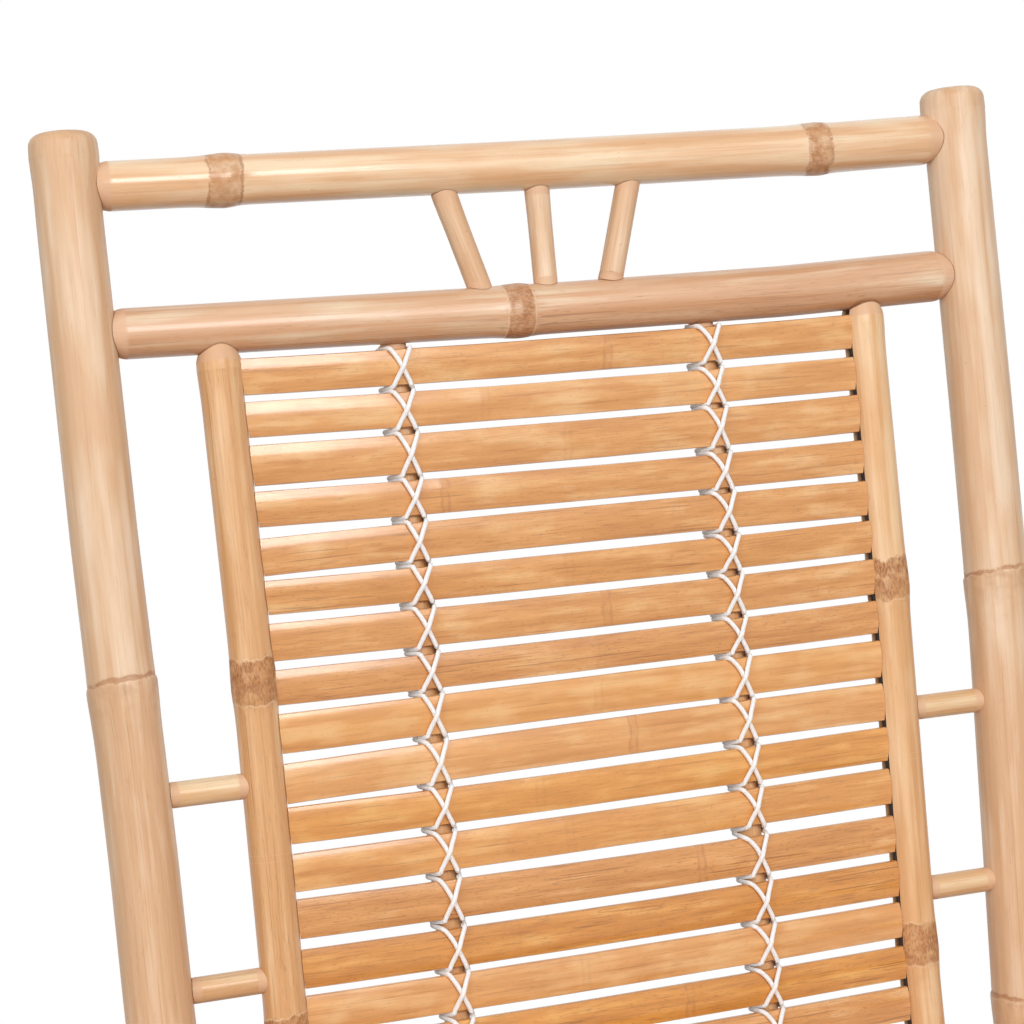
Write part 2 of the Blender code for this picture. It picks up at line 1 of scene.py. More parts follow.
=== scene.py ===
# %% [markdown]
# # A bamboo rocking chair
#
# The chair is made of culms, which is what bamboo stems are called. They are straight, hollow and ringed
# with nodes, and they are joined by coping: the end of one is cut to a fish-mouth that fits the round side
# of the next. The back and the seat are split slats, laced to thin poles behind them with white cord.
#
# The solids of the chair come in as a frame, with every piece at its place and size. This script makes the
# surface that the eye sees: round culms with real nodes, slats with a grown edge, cord that lies on them,
# and the varnished bamboo itself.

# %% Load the frame
import math
from functools import partial

import bpy
import numpy as np
from mathutils import Matrix, Vector, noise


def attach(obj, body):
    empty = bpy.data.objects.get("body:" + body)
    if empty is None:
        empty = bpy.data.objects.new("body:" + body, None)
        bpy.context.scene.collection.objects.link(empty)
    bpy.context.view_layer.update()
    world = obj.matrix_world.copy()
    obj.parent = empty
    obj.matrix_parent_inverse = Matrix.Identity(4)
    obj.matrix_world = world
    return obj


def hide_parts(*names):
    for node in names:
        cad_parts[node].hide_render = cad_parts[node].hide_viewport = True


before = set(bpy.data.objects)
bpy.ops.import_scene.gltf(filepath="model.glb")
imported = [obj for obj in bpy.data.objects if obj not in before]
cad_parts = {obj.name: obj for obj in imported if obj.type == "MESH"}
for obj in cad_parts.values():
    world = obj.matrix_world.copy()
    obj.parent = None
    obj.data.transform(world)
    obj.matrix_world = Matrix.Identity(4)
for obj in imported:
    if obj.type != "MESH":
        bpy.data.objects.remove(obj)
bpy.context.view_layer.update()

# %% [markdown]
# ## Setting out
#
# A chair maker sets out the back on a board before cutting anything. We do the same: the back is a plane
# that leans 15.5 degrees, and a place on it is measured across from the middle, along from the crest rail
# and forward towards the sitter. All sizes are in metres. The sizes repeat those of the solids, so the
# pieces fit them.

# %% The plane of the back
RECLINE = math.radians(15.5)
CREST = Vector((0.0, 0.254, 0.96122))
BACK_UP = Vector((0.0, math.sin(RECLINE), math.cos(RECLINE)))
BACK_OUT = Vector((0.0, -math.cos(RECLINE), math.sin(RECLINE)))
SIDES = {-1: "left", 1: "right"}
MM = 0.001


def on_back(across, along, forward=0.0):
    """A place on the plane of the back, in world coordinates."""
    return CREST + Vector((across, 0.0, 0.0)) + BACK_UP * along + BACK_OUT * forward


print("top of the back plane", [round(v, 3) for v in on_back(0, 0.0365)])

# %% [markdown]
# ## Camera
#
# The picture is taken from the front and a little to the left, slightly above the crest, with a long lens.
# The camera is set by its two angles, a trace of roll and its place relative to the crest rail.

# %% Camera
CAMERA_FROM_CREST = Vector((-0.5165, -1.4577, 0.1957))
CAMERA_TURN = math.radians(-18.88)
CAMERA_DOWN = math.radians(14.827)
CAMERA_ROLL = math.radians(-0.483)
LENS_MM = 91.41
SENSOR_MM = 36.0

level_right = Vector((math.cos(CAMERA_TURN), math.sin(CAMERA_TURN), 0.0))
ahead = Vector((-math.sin(CAMERA_TURN) * math.cos(CAMERA_DOWN), math.cos(CAMERA_TURN) * math.cos(CAMERA_DOWN),
                -math.sin(CAMERA_DOWN)))
level_up = level_right.cross(ahead)
right = level_right * math.cos(CAMERA_ROLL) + level_up * math.sin(CAMERA_ROLL)
above = level_up * math.cos(CAMERA_ROLL) - level_right * math.sin(CAMERA_ROLL)
camera = bpy.data.objects.new("camera", bpy.data.cameras.new("camera"))
camera.data.sensor_width = SENSOR_MM
camera.data.lens = LENS_MM
placing = Matrix((right, above, -ahead)).transposed().to_4x4()
placing.translation = CREST + CAMERA_FROM_CREST
camera.matrix_world = placing
bpy.context.scene.collection.objects.link(camera)
bpy.context.scene.camera = camera
print("camera at", [round(v, 3) for v in camera.matrix_world.translation])

# %% [markdown]
# ## Adding nodes and colours
#
# Every finish below is a small graph of shader nodes. One function adds a node and its settings, and
# another fills a node's inputs, with plain values or with links from other nodes. Colours are written as
# sRGB hex codes, as a paint chart gives them, and turned to the linear values that the renderer works in.


# %% Helpers for nodes and colours
def fill(node, inputs):
    """Give each input a plain value, or a link from a socket or from a node's output in use."""
    for socket, value in inputs.items():
        if isinstance(value, bpy.types.Node):
            value = next(output for output in value.outputs if output.enabled)
        if isinstance(value, bpy.types.NodeSocket):
            node.id_data.links.new(value, node.inputs[socket])
        else:
            node.inputs[socket].default_value = value


def add(tree, kind, inputs=None, **settings):
    """Add a shader node of a kind, with its settings and inputs."""
    made = tree.nodes.new(f"ShaderNode{kind}")
    for setting, value in settings.items():
        setattr(made, setting, value)
    fill(made, inputs or {})
    return made


def linear(hex_code):
    """Linear RGBA of an sRGB hex code."""
    channels = [int(hex_code[i:i + 2], 16) / 255 for i in (1, 3, 5)]
    return (*[c / 12.92 if c <= 0.04045 else ((c + 0.055) / 1.055) ** 2.4 for c in channels], 1.0)


print("linear tan", [round(v, 3) for v in linear("#DDB48C")])

# %% [markdown]
# ## Varnished bamboo
#
# The skin of a culm is a hard, smooth layer over straight fibres. Varnish brings up three things: long pale
# and dark streaks along the stem, fine fibres under them, and brown marks at the nodes, where leaf sheaths
# grew. The streaks run along each culm, whichever way it lies, so the pattern can't use the world's axes.
# Every piece carries its own measurements instead, as attributes on its points: `grain`, metres across and
# along the fibres, `scar`, metres from the nearest node, `rim`, how far off a coped rim is as a share of
# the sanded end, `tone`, how much paler or darker a length is, with painted light on one rail, whose upper
# side is painted paler and lower side darker, and a few more.
#
# The same graph serves the posts, the rails and the slats, with other colours and another gloss. Its parts
# stand in tables: noise patterns, ramps that pick a range out of a signal, products of signals, and the
# layers of colour that are laid over the streaks, from fine fibres to painted shade: a dark line at a coped
# rim and the dark inside of the slot. One pale layer is a painted highlight at the rims of a node's band.

# %% Patterns, ramps, products and layers
MARKS = ("scar", "band", "brown", "rough", "smoke", "rim", "tone", "gold", "slot")

# Size of each noise pattern across and along the fibres, in millimetres, and its detail
PATTERNS = {"streak": (6.0, 180.0, 4.0), "fibre": (0.8, 40.0, 2.0), "dash": (0.9, 8.0, 1.0),
            "split": (1.1, 130.0, 0.0), "cloud": (16.0, 70.0, 2.0), "mottle": (1.7, 2.4, 2.0),
            "patch": (7.0, 6.0, 3.0), "stroke": (1.0, 2.6, 2.0), "speck": (2.4, 3.2, 1.0)}

# Each ramp: the signal it reads, the range in it and what that range becomes
RAMPS = {
    "cloudy": ("lit_cloud", (0.24, 0.44), (0.0, 1.0)),
    "fibrous": ("tone", (-0.14, 0.06), (3.0, 0.8)),
    "fibre_line": ("fibre", (0.52, 0.78), (0.0, 1.0)),
    "dash_line": ("dash", (0.60, 0.80), (0.0, 1.0)),
    "split_line": ("split", (0.725, 0.78), (0.0, 1.0)),
    "stained": ("ragged", (0.0030, 0.0048), (0.0, 1.0)),
    "patchy": ("patch", (0.38, 0.60), (0.45, 1.0)),
    "hatching": ("stroke", (0.44, 0.62), (0.0, 0.7)),
    "scar_line": ("broken", (0.0030, 0.0042), (1.0, 0.0)),
    "rim_line": ("edge", (0.0003, 0.0008), (1.0, 0.0)),
    "clean": ("rough", (0.0, 1.0), (1.0, 0.0)),
    "crispness": ("rough", (0.5, 0.9), (0.0, 0.7)),
    "blur": ("patch", (0.42, 0.68), (0.0, 0.7)),
    "specks": ("speck", (0.775, 0.82), (0.0, 0.3)),
    "sanded": ("rim", (0.7125, 0.95), (1.0, 0.0)),
    # Painted shade: a dark line right at a coped rim, where the gap of the joint lies in shade
    "painted_seam_shade": ("rim", (0.0225, 0.09), (0.75, 0.0)),
    "dry": ("tone", (-0.13, -0.10), (0.6, 0.0)),
}
SMOOTH_RAMPS = ("scar_line", "sanded")

# Signals multiplied together. The darker a length of culm is, the more its fibres show
PRODUCTS = {
    "fibres": ("fibre_line", "fibrous", "depth"),
    "dashes": ("dash_line", "fibrous", "depth"),
    "splits": ("split_line", "fibrous", "depth"),
    "stain": ("stained", "brown", "patchy"),
    "soft_stain": ("stain", "softness"),
    "hatch": ("hatching", "stain", "rough"),
    "dark_ring": ("scar_line", "brown", "clean"),
    # Painted highlight: a pale line at the rims of a node's band, where the ridge there would catch the light
    "painted_ring_highlight": ("crispness", "rim_line", "patchy"),
    "haze": ("blur", "smoke"),
    "matt": ("sanded", "mattness"),
}

# Colours laid over the streaks, in this order. Painted light among them: a pale highlight line at the rims
# of a node's band, a dark shade line at a coped rim and the dark shade inside the slot
LAYERS = {"fibres": "#8A5630", "dashes": "#9A6238", "splits": "#7C4826", "soft_stain": "#BE8455",
          "hatch": "#8F5838", "dark_ring": "#A4683E", "painted_ring_highlight": "#EBC79E", "haze": "#B5825A",
          # The last colour is painted shade: the inside of the slot is painted dark, as it lies in shade
          # between the slats
          "specks": "#7A4A2B", "matt": "#E0B593", "painted_seam_shade": "#6A4329", "slot": "#33231A"}

# Relief of the surface in metres
RELIEF = {"fibre": 0.00005, "hatch": -0.00030, "dark_ring": -0.00020}
BUMP_STRENGTH = 0.8
SOFTNESS, MATTNESS = 0.85, 0.75
STREAK_MIDDLE, STREAK_SPREAD = 0.47, 0.19
GOLD = "#FFF6C8"
RAGGED_EDGE, BROKEN_RING = 0.007, 0.006
UNEVEN_GLOSS = 0.22
WORN_ROUGHNESS, WORN_COAT = 0.25, 0.15
print(len(PATTERNS), "patterns and", len(LAYERS), "layers of colour")


# %% Bamboo finish
def bamboo_finish(name, pale, middle, deep, roughness, fibre_gloss, coat, coat_roughness, grain_depth,
                  contrast, ripple=0.0):
    """A bamboo material: three colours, gloss of skin and varnish, strength of fibres and streaks."""
    material = bpy.data.materials.new(name)
    material.use_nodes = True
    tree = material.node_tree
    grain = add(tree, "Attribute", attribute_name="grain").outputs["Vector"]
    signal = {"depth": grain_depth, "softness": SOFTNESS, "mattness": MATTNESS}
    for key in MARKS:
        signal[key] = add(tree, "Attribute", attribute_name=key).outputs["Fac"]
    for key, (across, along, detail) in PATTERNS.items():
        per_metre = (1000 / across, 1000 / across, 1000 / along)
        scaled = add(tree, "VectorMath", {0: grain, 1: per_metre}, operation="MULTIPLY")
        signal[key] = add(tree, "TexNoise", {"Vector": scaled, "Scale": 1.0, "Detail": detail})

    # Distance to the rim of a node's band, and the same made ragged or broken
    away = add(tree, "Math", {0: signal["scar"]}, operation="ABSOLUTE")
    inside = add(tree, "Math", {0: signal["band"], 1: away}, operation="SUBTRACT")
    edge = add(tree, "Math", {0: inside}, operation="ABSOLUTE")
    signal["edge"] = edge
    signal["ragged"] = add(tree, "Math", {0: signal["mottle"], 1: RAGGED_EDGE, 2: inside},
                           operation="MULTIPLY_ADD")
    signal["broken"] = add(tree, "Math", {0: signal["patch"], 1: BROKEN_RING, 2: edge},
                           operation="MULTIPLY_ADD")

    # The tone of the piece shifts its streaks and clouds
    lift = add(tree, "Math", {0: signal["streak"], 1: signal["tone"]}, operation="ADD")
    signal["lit_cloud"] = add(tree, "Math", {0: signal["cloud"], 1: lift}, operation="MULTIPLY")

    for key, (source, reads, gives) in RAMPS.items():
        signal[key] = add(tree, "MapRange", {"Value": signal[source], "From Min": reads[0],
                                             "From Max": reads[1], "To Min": gives[0], "To Max": gives[1]},
                          interpolation_type="SMOOTHSTEP" if key in SMOOTH_RAMPS else "LINEAR")
    for key, (first, *others) in PRODUCTS.items():
        signal[key] = signal[first]
        for other in others:
            signal[key] = add(tree, "Math", {0: signal[key], 1: signal[other]}, operation="MULTIPLY")

    # Streaks between the deep and the middle colour, then pale clouds, then the layers
    streak = add(tree, "MapRange", {"Value": lift, "From Min": STREAK_MIDDLE - STREAK_SPREAD / contrast,
                                    "From Max": STREAK_MIDDLE + STREAK_SPREAD / contrast})
    colour = add(tree, "Mix", {0: streak, 6: linear(deep), 7: linear(middle)}, data_type="RGBA")
    colour = add(tree, "Mix", {0: signal["cloudy"], 6: colour, 7: linear(pale)}, data_type="RGBA")
    colour = add(tree, "Mix", {0: signal["gold"], 6: colour, 7: linear(GOLD)}, data_type="RGBA",
                 blend_type="MULTIPLY")
    for key, hex_code in LAYERS.items():
        colour = add(tree, "Mix", {0: signal[key], 6: colour, 7: linear(hex_code)}, data_type="RGBA")

    # The varnish is a little uneven along the streaks, and dull or gone where the surface is worn
    worn = signal["stain"]
    for key in ("sanded", "slot", "dry"):
        worn = add(tree, "Math", {0: worn, 1: signal[key]}, operation="MAXIMUM")
    gloss = add(tree, "Math", {0: signal["streak"], 1: UNEVEN_GLOSS, 2: roughness - UNEVEN_GLOSS / 2},
                operation="MULTIPLY_ADD")
    dull = add(tree, "Math", {0: worn, 1: WORN_ROUGHNESS, 2: gloss}, operation="MULTIPLY_ADD")
    varnish = add(tree, "MapRange", {"Value": worn, "To Min": coat, "To Max": coat * WORN_COAT})

    relief = add(tree, "Math", {0: signal["patch"], 1: ripple}, operation="MULTIPLY")
    for key, height in RELIEF.items():
        relief = add(tree, "Math", {0: signal[key], 1: height, 2: relief}, operation="MULTIPLY_ADD")
    bump = add(tree, "Bump", {"Height": relief, "Strength": BUMP_STRENGTH, "Distance": 1.0})
    fill(tree.nodes["Principled BSDF"], {"Base Color": colour, "Roughness": dull, "Coat Weight": varnish,
                                         "Normal": bump, "Coat Roughness": coat_roughness,
                                         "Specular IOR Level": fibre_gloss})
    return material


PALE_CULM = bamboo_finish("satin_varnished_bamboo_culm", "#EFD2B4", "#E5BD97", "#D2A379", roughness=0.42,
                          fibre_gloss=0.25, coat=0.12, coat_roughness=0.30, grain_depth=0.14, contrast=0.65)
HONEY_CULM = bamboo_finish("satin_varnished_honey_bamboo", "#F0CA9E", "#E8B682", "#D29A66", roughness=0.38,
                           fibre_gloss=0.25, coat=0.30, coat_roughness=0.26, grain_depth=0.18, contrast=0.65)
GOLDEN_CULM = bamboo_finish("gloss_varnished_bamboo_culm", "#F6D9B4", "#EFC399", "#D89E66", roughness=0.36,
                            fibre_gloss=0.30, coat=0.85, coat_roughness=0.16, grain_depth=0.18, contrast=0.70)
BROWN_CULM = bamboo_finish("dull_varnished_bamboo_culm", "#ECD3B3", "#E6BC97", "#CB9060", roughness=0.46,
                           fibre_gloss=0.70, coat=0.55, coat_roughness=0.20, grain_depth=0.18, contrast=0.70)
THIN_CULM = bamboo_finish("satin_varnished_thin_bamboo", "#EFD3AC", "#E8BF90", "#D19F6E", roughness=0.38,
                          fibre_gloss=0.25, coat=0.40, coat_roughness=0.24, grain_depth=0.18, contrast=0.70)
SPLIT_BAMBOO = bamboo_finish("gloss_varnished_split_bamboo", "#EDBB82", "#E8A967", "#CD8B4B", roughness=0.36,
                             fibre_gloss=0.25, coat=1.00, coat_roughness=0.14, grain_depth=0.20,
                             contrast=0.85, ripple=0.00008)
print("bamboo finishes:", PALE_CULM.name, HONEY_CULM.name, GOLDEN_CULM.name, BROWN_CULM.name, THIN_CULM.name,
      SPLIT_BAMBOO.name)

# %% [markdown]
# ## White cord
#
# The lacing is a thin braided cord of white cotton: matt, almost pure white, with a fine twist. The twist
# is finer than a pixel of the picture, so it is drawn twice as coarse as it is, at three millimetres.

# %% Cord finish
TWIST_MM = 3.0

WHITE_CORD = bpy.data.materials.new("white_braided_cotton_cord")
WHITE_CORD.use_nodes = True
tree = WHITE_CORD.node_tree
winding = add(tree, "Attribute", attribute_name="twist")
wave = add(tree, "Math", {0: winding.outputs["Fac"]}, operation="SINE")
ridge = add(tree, "MapRange", {"Value": wave, "From Min": -1.0})
shade = add(tree, "Mix", {0: ridge, 6: linear("#FAF9F7"), 7: linear("#FFFFFF")}, data_type="RGBA")
strands = add(tree, "Bump", {"Height": ridge, "Strength": 0.15, "Distance": 0.0002})
fill(tree.nodes["Principled BSDF"], {"Base Color": shade, "Normal": strands, "Roughness": 0.75,
                                     "Subsurface Weight": 0.7, "Subsurface Radius": (1.0, 1.0, 1.0),
                                     "Subsurface Scale": 0.002})
print("cord finish:", WHITE_CORD.name)

# %% [markdown]
# ## How a culm grows
#
# A culm is a row of straight runs between nodes, and it often changes direction a little at each one. So
# its axis is a chain of points, and its radius tapers from one end to the other. `skin` gives the round
# surface beside a point, for a neighbour that is coped to it.


# %% The axis of a culm
KINK_REACH = 0.006
FIT = 0.0002
SEARCH_MARGIN, SEARCH_STEPS = 0.05, 2001


class Culm:
    def __init__(self, points, radii):
        self.points = np.array([list(p) for p in points])
        runs = np.linalg.norm(np.diff(self.points, axis=0), axis=1)
        self.reached = np.concatenate([[0.0], np.cumsum(runs)])
        self.length = float(self.reached[-1])
        self.radii = radii

    def radius(self, distance):
        return self.radii[0] + (self.radii[1] - self.radii[0]) * np.asarray(distance) / self.length

    def line(self, distance):
        """Points of the chain, run on past both ends."""
        first = (self.points[1] - self.points[0]) / self.reached[1]
        last = (self.points[-1] - self.points[-2]) / (self.reached[-1] - self.reached[-2])
        chain = np.vstack([self.points[0] - first, self.points, self.points[-1] + last])
        marks = np.concatenate([[-1.0], self.reached, [self.length + 1.0]])
        return np.stack([np.interp(distance, marks, chain[:, axis]) for axis in range(3)], axis=-1)

    def axis(self, distance):
        """Centre and direction, with the kinks rounded off."""
        distance = np.asarray(distance, float)
        before, after = self.line(distance - KINK_REACH), self.line(distance + KINK_REACH)
        centre = (before + 2 * self.line(distance) + after) / 4
        direction = after - before
        return centre, direction / np.linalg.norm(direction, axis=-1, keepdims=True)

    def nearest(self, point):
        marks = np.linspace(-SEARCH_MARGIN, self.length + SEARCH_MARGIN, SEARCH_STEPS)
        away = np.linalg.norm(self.line(marks) - np.array(list(point)), axis=1)
        return float(marks[away.argmin()])

    def skin(self, point):
        """Centre, direction and radius of the surface that a neighbour at a point is cut to."""
        distance = self.nearest(point)
        centre, direction = self.axis(distance)
        return centre, direction, float(self.radius(distance)) + FIT


print("culms kink within", KINK_REACH * 1000, "mm of a node")

# %% [markdown]
# ## The node of a culm
#
# A node swells the culm, and the leaf sheath leaves a ring there that is never quite square to the axis. On
# the thick posts it is a fine scar with the swelling just below it. On the rails it is a broad brown band
# between two scars. On the side rails it is rough and mottled. Each kind is a few numbers: how much it
# swells and how far, below and above, the half width of the band, how brown and rough it is, how the ring
# tilts and wanders, the depth of its groove, and the brown haze, here called smoke, that trails below it.

# %% Kinds of node
NODE_KINDS = {
    "ring": {"below": (0.050, 0.020), "above": (0.008, 0.006), "centre": -0.0010, "band": 0.0004,
             "brown": 0.80, "tilt": 0.13, "wander": 0.0013, "groove": 0.010, "rough": 0.3, "smoke": 0.7},
    "cap": {"below": (0.045, 0.012), "above": (0.050, 0.014), "centre": 0.0, "band": 0.0,
            "brown": 0.0, "tilt": 0.03, "wander": 0.0005, "groove": -0.006, "rough": 0.0, "smoke": 0.0},
    "band": {"below": (0.095, 0.014), "above": (0.085, 0.007), "centre": 0.0030, "band": 0.0096,
             "brown": 0.80, "tilt": 0.05, "wander": 0.0009, "groove": 0.004, "rough": 0.25, "smoke": 0.0},
    "collar": {"below": (0.080, 0.012), "above": (0.080, 0.008), "centre": 0.0020, "band": 0.0084,
               "brown": 0.95, "tilt": 0.03, "wander": 0.0003, "groove": 0.006, "rough": 0.9, "smoke": 0.0},
    "blotch": {"below": (0.060, 0.014), "above": (0.070, 0.008), "centre": 0.0020, "band": 0.0076,
               "brown": 0.95, "tilt": 0.05, "wander": 0.0022, "groove": 0.002, "rough": 0.55, "smoke": 0.0},
    "knuckle": {"below": (0.075, 0.012), "above": (0.070, 0.015), "centre": -0.004, "band": 0.0132,
                "brown": 1.0, "tilt": 0.10, "wander": 0.0026, "groove": 0.003, "rough": 1.0, "smoke": 0.8,
                "fade": -0.35},
}
SMOKE_REACH = 0.014
GROOVE_REACH = 0.0008
SCAR_BLEND, SCAR_STEEPNESS = 0.0016, 3
MARK_REACH, MARK_FADE = 0.035, 0.008
RING_WAVES = 3
SEED_STEP = 7.31
# Farther than any mark reaches
FAR = 9.0


def bell(distance, reach):
    """One at no distance, and little beyond the reach."""
    return np.exp(-(distance / reach) ** 2)


def wander(seed, x, y):
    """Smooth noise from about -1 to 1, the same on every run."""
    return noise.noise(Vector((x, y, seed * SEED_STEP)))


def node_marks(distances, angles, radius, culm_nodes, seed):
    """Swelling and surface marks of a culm on a grid of places."""
    swelling = np.zeros_like(distances)
    nearest = np.full_like(distances, FAR)
    scar = np.full_like(distances, MARK_REACH)
    band = np.zeros_like(distances)
    brown = np.zeros_like(distances)
    rough = np.zeros_like(distances)
    smoke = np.zeros_like(distances)
    for number, (place, kind) in enumerate(culm_nodes):
        look = NODE_KINDS[kind]
        turn = wander(seed + number, 3.0, 1.0) * math.pi * 2
        ring = look["tilt"] * radius * np.cos(angles - turn)
        ragged = [wander(seed + number, RING_WAVES * math.cos(a), RING_WAVES * math.sin(a)) for a in angles]
        offset = distances - (place + ring + look["wander"] * np.array(ragged))[None, :]
        bulge = offset - look["centre"]
        over = 1 / (1 + np.exp(-bulge / SCAR_BLEND * SCAR_STEEPNESS))
        swelling += (1 - over) * look["below"][0] * bell(bulge, look["below"][1])
        swelling += over * look["above"][0] * bell(bulge, look["above"][1])
        for edge in {look["band"], -look["band"]}:
            swelling -= look["groove"] * bell(offset - edge, GROOVE_REACH)
        nearer = np.abs(offset) < nearest
        nearest = np.where(nearer, np.abs(offset), nearest)
        fade = look.get("fade", 0.0)
        faded = 1 - abs(fade) * np.clip(np.sign(fade) * offset / max(look["band"], MM), 0, 1)
        ending = np.clip((MARK_REACH - np.abs(offset)) / MARK_FADE, 0, 1)
        scar = np.where(nearer, np.clip(offset, -MARK_REACH, MARK_REACH), scar)
        band = np.where(nearer, look["band"], band)
        brown = np.where(nearer, look["brown"] * faded * ending, brown)
        rough = np.where(nearer, look["rough"], rough)
        smoke += look["smoke"] * np.where(offset < 0, np.exp(np.minimum(offset, 0) / SMOKE_REACH), 0.0)
    return swelling, {"scar": scar, "band": band, "brown": brown, "rough": rough, "smoke": smoke}


print("kinds of node:", ", ".join(NODE_KINDS))

# %% [markdown]
# ## Coping and tips
#
# To cope an end, the maker holds the culm against its neighbour and cuts along the line where they meet.
# Here each line of the culm's skin runs on until it reaches the neighbour's cylinder, which is a quadratic
# equation. The hollow inside is cut a little deeper, so only the rim bears. A culm that ends in the open is
# closed by a node, and its top is rounded over with a rasp.


# %% Coped ends and rounded tips
COPE_START = 0.12
COPE_RELIEF = 0.0020
COPE_WALL = 0.70
TIP_CORNER = 0.0065
TIP_DOME = 0.0006
TIP_INNER = (0.55, 0.30, 0.10)


def reach(origins, direction, skin):
    """How far along a direction each origin meets a cylinder."""
    centre, axis, radius = skin
    across = direction - axis * direction.dot(axis)
    offset = origins - centre
    offset = offset - np.outer(offset @ axis, axis)
    a = across.dot(across)
    b = 2 * offset @ across
    c = (offset ** 2).sum(1) - radius ** 2
    return (-b - np.sqrt(np.maximum(b * b - 4 * a * c, 0.0))) / (2 * a)


def cope_line(culm, at_end, spokes, radius, skin):
    """Distance along the culm where each line of its skin meets the neighbour."""
    tip, direction = culm.axis(culm.length if at_end else 0.0)
    outward = direction if at_end else -direction
    origins = tip + spokes * radius - outward * COPE_START
    run = reach(origins, outward, skin) - COPE_START
    return culm.length + run if at_end else -run


def tip_share(setback, radius):
    """Share of the radius left by the rounding, at a distance back from a tip."""
    corner = np.clip(1 - setback / TIP_CORNER, 0.0, 1.0)
    return 1 - TIP_CORNER / radius * (1 - np.sqrt(1 - corner ** 2))


print("tips are rounded over", TIP_CORNER * 1000, "mm")

# %% [markdown]
# ## Making a piece
#
# A finished mesh is put in the scene as one piece: it rides on the chair's body and stands for the plain
# solid of the same name, which is hidden. Its attributes tell the finish where the grain runs.


# %% Put a piece in the scene
SHARP = math.radians(38)
FINISHES = {"PALE": PALE_CULM, "HONEY": HONEY_CULM, "GOLDEN": GOLDEN_CULM, "BROWN": BROWN_CULM,
            "THIN": THIN_CULM, "SPLIT": SPLIT_BAMBOO, "CORD": WHITE_CORD}


def put_piece(name, points, faces, marks, finish, *stands_for):
    """One mesh as a piece of the chair, with its attributes and finish."""
    mesh = bpy.data.meshes.new(name)
    mesh.from_pydata(points.tolist(), [], faces)
    mesh.shade_smooth()
    mesh.set_sharp_from_angle(angle=SHARP)
    for key, values in marks.items():
        kind = "FLOAT_VECTOR" if values.ndim == 2 else "FLOAT"
        stored = mesh.attributes.new(key, kind, "POINT")
        stored.data.foreach_set("vector" if values.ndim == 2 else "value", values.astype(np.float32).ravel())
    mesh.materials.append(FINISHES[finish])
    piece = bpy.data.objects.new(name, mesh)
    bpy.context.scene.collection.objects.link(piece)
    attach(piece, "root")
    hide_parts(*stands_for)


def stitch(rows, sides):
    """Quads between rows of points that are stored one after another."""
    index = np.arange(rows * sides).reshape(rows, sides)
    after = np.roll(index, -1, axis=1)
    quads = np.stack([index[:-1], after[:-1], after[1:], index[1:]], axis=-1)
    return quads.reshape(-1, 4).tolist()


def fan(first, sides, centre, flip):
    """Triangles from a row of points to the point that closes it."""
    ring = list(range(first, first + sides))
    pairs = zip(ring, ring[1:] + ring[:1])
    return [[b, a, centre] if flip else [a, b, centre] for a, b in pairs]


# %% [markdown]
# ## A whole culm
#
# A culm is a loft: rings along its axis, close together at nodes and ends and wider apart between. Blender
# could sweep a circle along a curve, but the rims are not flat and every node is its own shape, so the
# rings are computed, and each point keeps its own distance along the culm.

# %% Rings and ends of a culm
RING_STEP = 0.010
NODE_STEP, NODE_SPAN = 0.0008, 0.0136
BULGE_STEP, BULGE_SPAN = 0.0030, 0.0286
RIM_STEPS = (0.0, 0.12, 0.25, 0.50, 0.75)
CLOSEST_RINGS = 0.0002
TIP_STEPS = 10
OUT_OF_ROUND, OVAL_TURN = 0.007, 1.7
LUMPS, LUMPS_PER_METRE = 0.004, 9
# How far the pattern of each culm is moved, across and along the fibres
GRAIN_SHIFT = (0.37, 0.61)
END_LOSS, THIN_END_LOSS = 0.11, 0.015
THIN_RADIUS = 0.0105
END_REACH_SHARE = 0.50
# Offset added to the rims that get no painted shade line; their sanded ends also come out a little shorter
UNSHADED_RIM_OFFSET = 0.1
SLOT_DEPTH = 0.0028
SLOT_BLEND = 0.06


def spokes_round(direction, angles):
    """Unit vectors round an axis."""
    guide = np.array((1.0, 0.0, 0.0)) if abs(direction[0]) < 0.8 else np.array((0.0, 0.0, 1.0))
    first = guide - direction * guide.dot(direction)
    first /= np.linalg.norm(first)
    second = np.cross(direction, first)
    return np.outer(np.cos(angles), first) + np.outer(np.sin(angles), second)


def ring_places(low, high, culm_nodes, tips):
    """Distances of the rings between two ends."""
    places = list(np.arange(low, high, RING_STEP)) + [high]
    for place, _ in culm_nodes:
        places += list(np.arange(place - NODE_SPAN, place + NODE_SPAN, NODE_STEP))
        places += list(np.arange(place - BULGE_SPAN, place - NODE_SPAN, BULGE_STEP))
        places += list(np.arange(place + BULGE_SPAN, place + NODE_SPAN, -BULGE_STEP))
    for tip, inward in tips:
        turns = [k * math.pi / 2 / TIP_STEPS for k in range(TIP_STEPS + 1)]
        places += [tip + inward * TIP_CORNER * (1 - math.cos(turn)) for turn in turns]
    places = np.unique(np.round([p for p in places if low - 1e-9 <= p <= high + 1e-9], 5))
    return places[np.concatenate([[True], np.diff(places) > CLOSEST_RINGS])]


def cope_ends(culm, angles, skins, end_loss):
    """For each coped end, the line of its rim, the line of its hollow and how far back it is sanded."""
    rims, hollows, worn = {}, {}, {}
    for at_end, skin in skins.items():
        if skin is None:
            continue
        edge = culm.length if at_end else 0.0
        spokes = spokes_round(culm.axis(edge)[1], angles)
        radius = float(culm.radius(edge)) * (1 - end_loss)
        rims[at_end] = cope_line(culm, at_end, spokes, radius, skin)
        lip = np.abs(rims[at_end] - (rims[at_end].min() if at_end else rims[at_end].max()))
        worn[at_end] = radius * END_REACH_SHARE * (1 + lip / max(lip.max(), 1e-6))
        deeper = COPE_RELIEF * (-1 if at_end else 1)
        hollows[at_end] = cope_line(culm, at_end, spokes, radius * COPE_WALL, skin) + deeper
    return rims, hollows, worn


